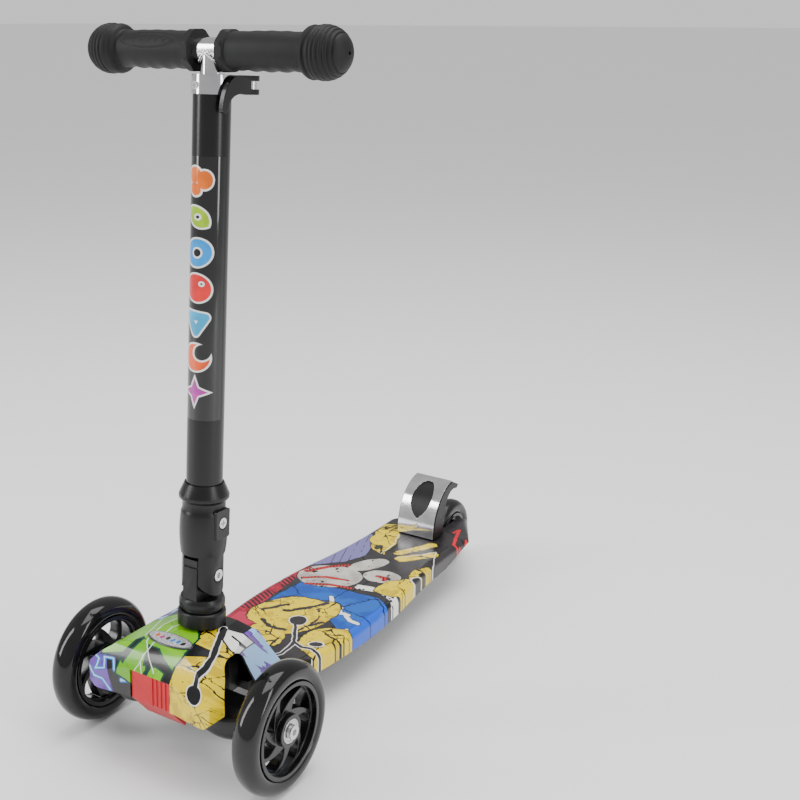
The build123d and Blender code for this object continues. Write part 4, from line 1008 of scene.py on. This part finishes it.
def sticker_film():
    """Thin film round the front of the tube."""
    half_width = 26.0
    film_r = TUBE_R + 0.12
    foot = 192
    top = 425
    strips = 36
    bm = bmesh.new()
    rows = []
    for i in range(strips + 1):
        a = (-half_width + 2 * half_width * i / strips) / TUBE_R
        x = film_r * sin(a) * MM
        y = -film_r * cos(a) * MM
        rows.append([bm.verts.new(on_stem(x, y, s * MM)) for s in (foot, top)])
    for left, right in zip(rows, rows[1:]):
        bm.faces.new((left[0], right[0], right[1], left[1]))
    mesh = bpy.data.meshes.new("sticker")
    bm.to_mesh(mesh)
    bm.free()
    return mesh


piece("tube_sticker", sticker_film(), "outer_tube", "sticker_print", replace=False)


# ---- tyres ----------------------------------------------------------------------------
def tyre_profile(half, outer, inner, bulge):
    """Closed outline of a tyre: round tread, then one side, the bore and the other side."""
    rows = []
    steps = 40
    for i in range(steps + 1):
        a = pi * i / steps
        rows.append((-half * cos(a), outer - bulge + bulge * sin(a) ** 0.85))
    side = [(half, outer - bulge - 2), (half - 0.3, inner + 3), (half - 1.2, inner + 1), (half - 2.4, inner)]
    return rows + side + [(-a, r) for a, r in reversed(side)]


FRONT_TYRE = tyre_profile(half=12.45, outer=60.0, inner=44.1, bulge=9.5)
REAR_TYRE = tyre_profile(half=11.45, outer=40.0, inner=25.05, bulge=8.5)
TYRES = (("left", FRONT_TYRE, 144), ("right", FRONT_TYRE, 144), ("rear", REAR_TYRE, 112))
for word, profile, count in TYRES:
    mesh = lathe(profile, centre(f"{word}_tyre"), X, (0, 0, 1), count, loop=True)
    piece(f"v_{word}_tyre", mesh, f"{word}_tyre", angle=60)

# ---- remaining pieces straight from their CAD shapes ----------------------------------
# rounding of their edges in mm, where it isn't the usual one
USUAL_ROUNDING = 0.3
roundings = {
    "deck": 0, "front_cover": 1.6, "bumper_insert": 0.7, "upper_knuckle": 0.8, "lower_knuckle": 0.8,
    "lock_sleeve": 0.6, "clamp": 0.9, "quick_release_lever": 1.2, "brake_plate": 0.2, "brake_pedal": 1.2,
    "truck": 0.8, "base_collar": 0.5, "left_wheel_core": 0.7, "right_wheel_core": 0.7, "rear_wheel_core": 0.7,
    "cover_badge": 0, "deck_tread": 0,
}
done = {"left_grip", "right_grip", "handlebar", "outer_tube", "left_tyre", "right_tyre", "rear_tyre"}
copies = {}
for node in sorted(frame["nodes"]):
    if node not in done:
        copies[node] = copy_node(node, roundings.get(node, USUAL_ROUNDING))


def recolour(obj, other, test):
    """Second material on the faces that pass a test of centre and normal."""
    obj.data.materials.append(M[other])
    for face in obj.data.polygons:
        if test(face.center, face.normal):
            face.material_index = 1


def printed_side(place, normal):
    """Whether a face of the deck is on its top or on the outside of its skirts."""
    inward = normal.x * place.x < 0 and abs(normal.z) < 0.6 and abs(place.x) > 20 * MM
    under = normal.z < -0.25 or place.z < 42 * MM
    return not (under or inward)


def inside_cover(place, normal):
    """Whether a face of the cover is inside it or lines one of the arches between its legs."""
    behind = place.y - HEAD_Y
    near_arch = abs(place.x) > 28 * MM and -67 * MM < behind < 29 * MM
    into_arch = Vector((0, -20 * MM - behind, 80 * MM - place.z))
    level = Vector((0, normal.y, normal.z))
    lines_arch = near_arch and abs(normal.x) < 0.35 and level.dot(into_arch) > 0
    return normal.z < -0.3 or lines_arch


recolour(copies["deck"], "deck_print", printed_side)
recolour(copies["front_cover"], "deck_shell", inside_cover)

# ---- stage, light, camera -------------------------------------------------------------
floor_net = Net("floor")
floor_tones = ((0.95, 0.95, 0.95, 1), (0.96, 0.96, 0.96, 1))
floor_tone = two_tone(floor_net, floor_net.place, 3, 3, (0.3, 0.7), *floor_tones)
finish(floor_net, floor_tone, 0.6, height=0)
floor_half = 60
bm = bmesh.new()
for x, y in ((-1, -1), (1, -1), (1, 1), (-1, 1)):
    bm.verts.new((x * floor_half, y * floor_half, 0))
bm.faces.new(bm.verts)
mesh = bpy.data.meshes.new("floor")
bm.to_mesh(mesh)
bm.free()
floor = bpy.data.objects.new("floor", mesh)
bpy.context.scene.collection.objects.link(floor)
mesh.materials.append(floor_net.mat)

# The sky's strength differs for what lights dull faces, what glossy faces mirror and what the camera sees.
SKY_LIGHT = 0.80
SKY_MIRRORED = 0.50
SKY_SEEN = 0.84
world = bpy.data.worlds.new("studio")
bpy.context.scene.world = world
world.use_nodes = True
sky = world.node_tree
ray = sky.nodes.new("ShaderNodeLightPath")
level = sky.nodes.new("ShaderNodeMix")
level.inputs[2].default_value = SKY_LIGHT
level.inputs[3].default_value = SKY_MIRRORED
sky.links.new(ray.outputs["Is Glossy Ray"], level.inputs[0])
shown = sky.nodes.new("ShaderNodeMix")
shown.inputs[3].default_value = SKY_SEEN
sky.links.new(ray.outputs["Is Camera Ray"], shown.inputs[0])
sky.links.new(level.outputs[0], shown.inputs[2])
sky.nodes["Background"].inputs[0].default_value = (1, 1, 1, 1)
sky.links.new(shown.outputs[0], sky.nodes["Background"].inputs[1])


def softbox(name, place, aim, size, power, tall=None):
    """Rectangular light at a place, turned towards an aim."""
    data = bpy.data.lights.new(name, "AREA")
    data.energy = power
    data.shape = "RECTANGLE"
    data.size = size
    data.size_y = tall or size
    obj = bpy.data.objects.new(name, data)
    bpy.context.scene.collection.objects.link(obj)
    obj.location = place
    obj.rotation_euler = (Vector(aim) - Vector(place)).to_track_quat("-Z", "Y").to_euler()


softbox("key", (-1.5, -1.6, 1.3), (0, -0.1, 0.3), 0.5, 30, 1.9)
softbox("fill", (2.0, -0.2, 1.1), (0, -0.1, 0.3), 0.4, 18, 1.9)
softbox("top", (0.3, 0.2, 2.4), (0, 0, 0.1), 1.8, 46)

AZ = radians(35.207)
EL = radians(13.575)
CAMERA_PLACE = (0.6794, -1.0502, 0.6692)
towards = Vector((sin(AZ) * cos(EL), -cos(AZ) * cos(EL), sin(EL)))
right = Vector((cos(AZ), sin(AZ), 0))
camera_data = bpy.data.cameras.new("camera")
camera_data.sensor_width = 36
camera_data.lens = 56.58
camera_data.shift_x = 0.1444
camera_data.shift_y = -0.1044
camera = bpy.data.objects.new("camera", camera_data)
bpy.context.scene.collection.objects.link(camera)
turned = Matrix((right, towards.cross(right), towards)).transposed()
camera.matrix_world = Matrix.Translation(CAMERA_PLACE) @ turned.to_4x4()
bpy.context.scene.camera = camera
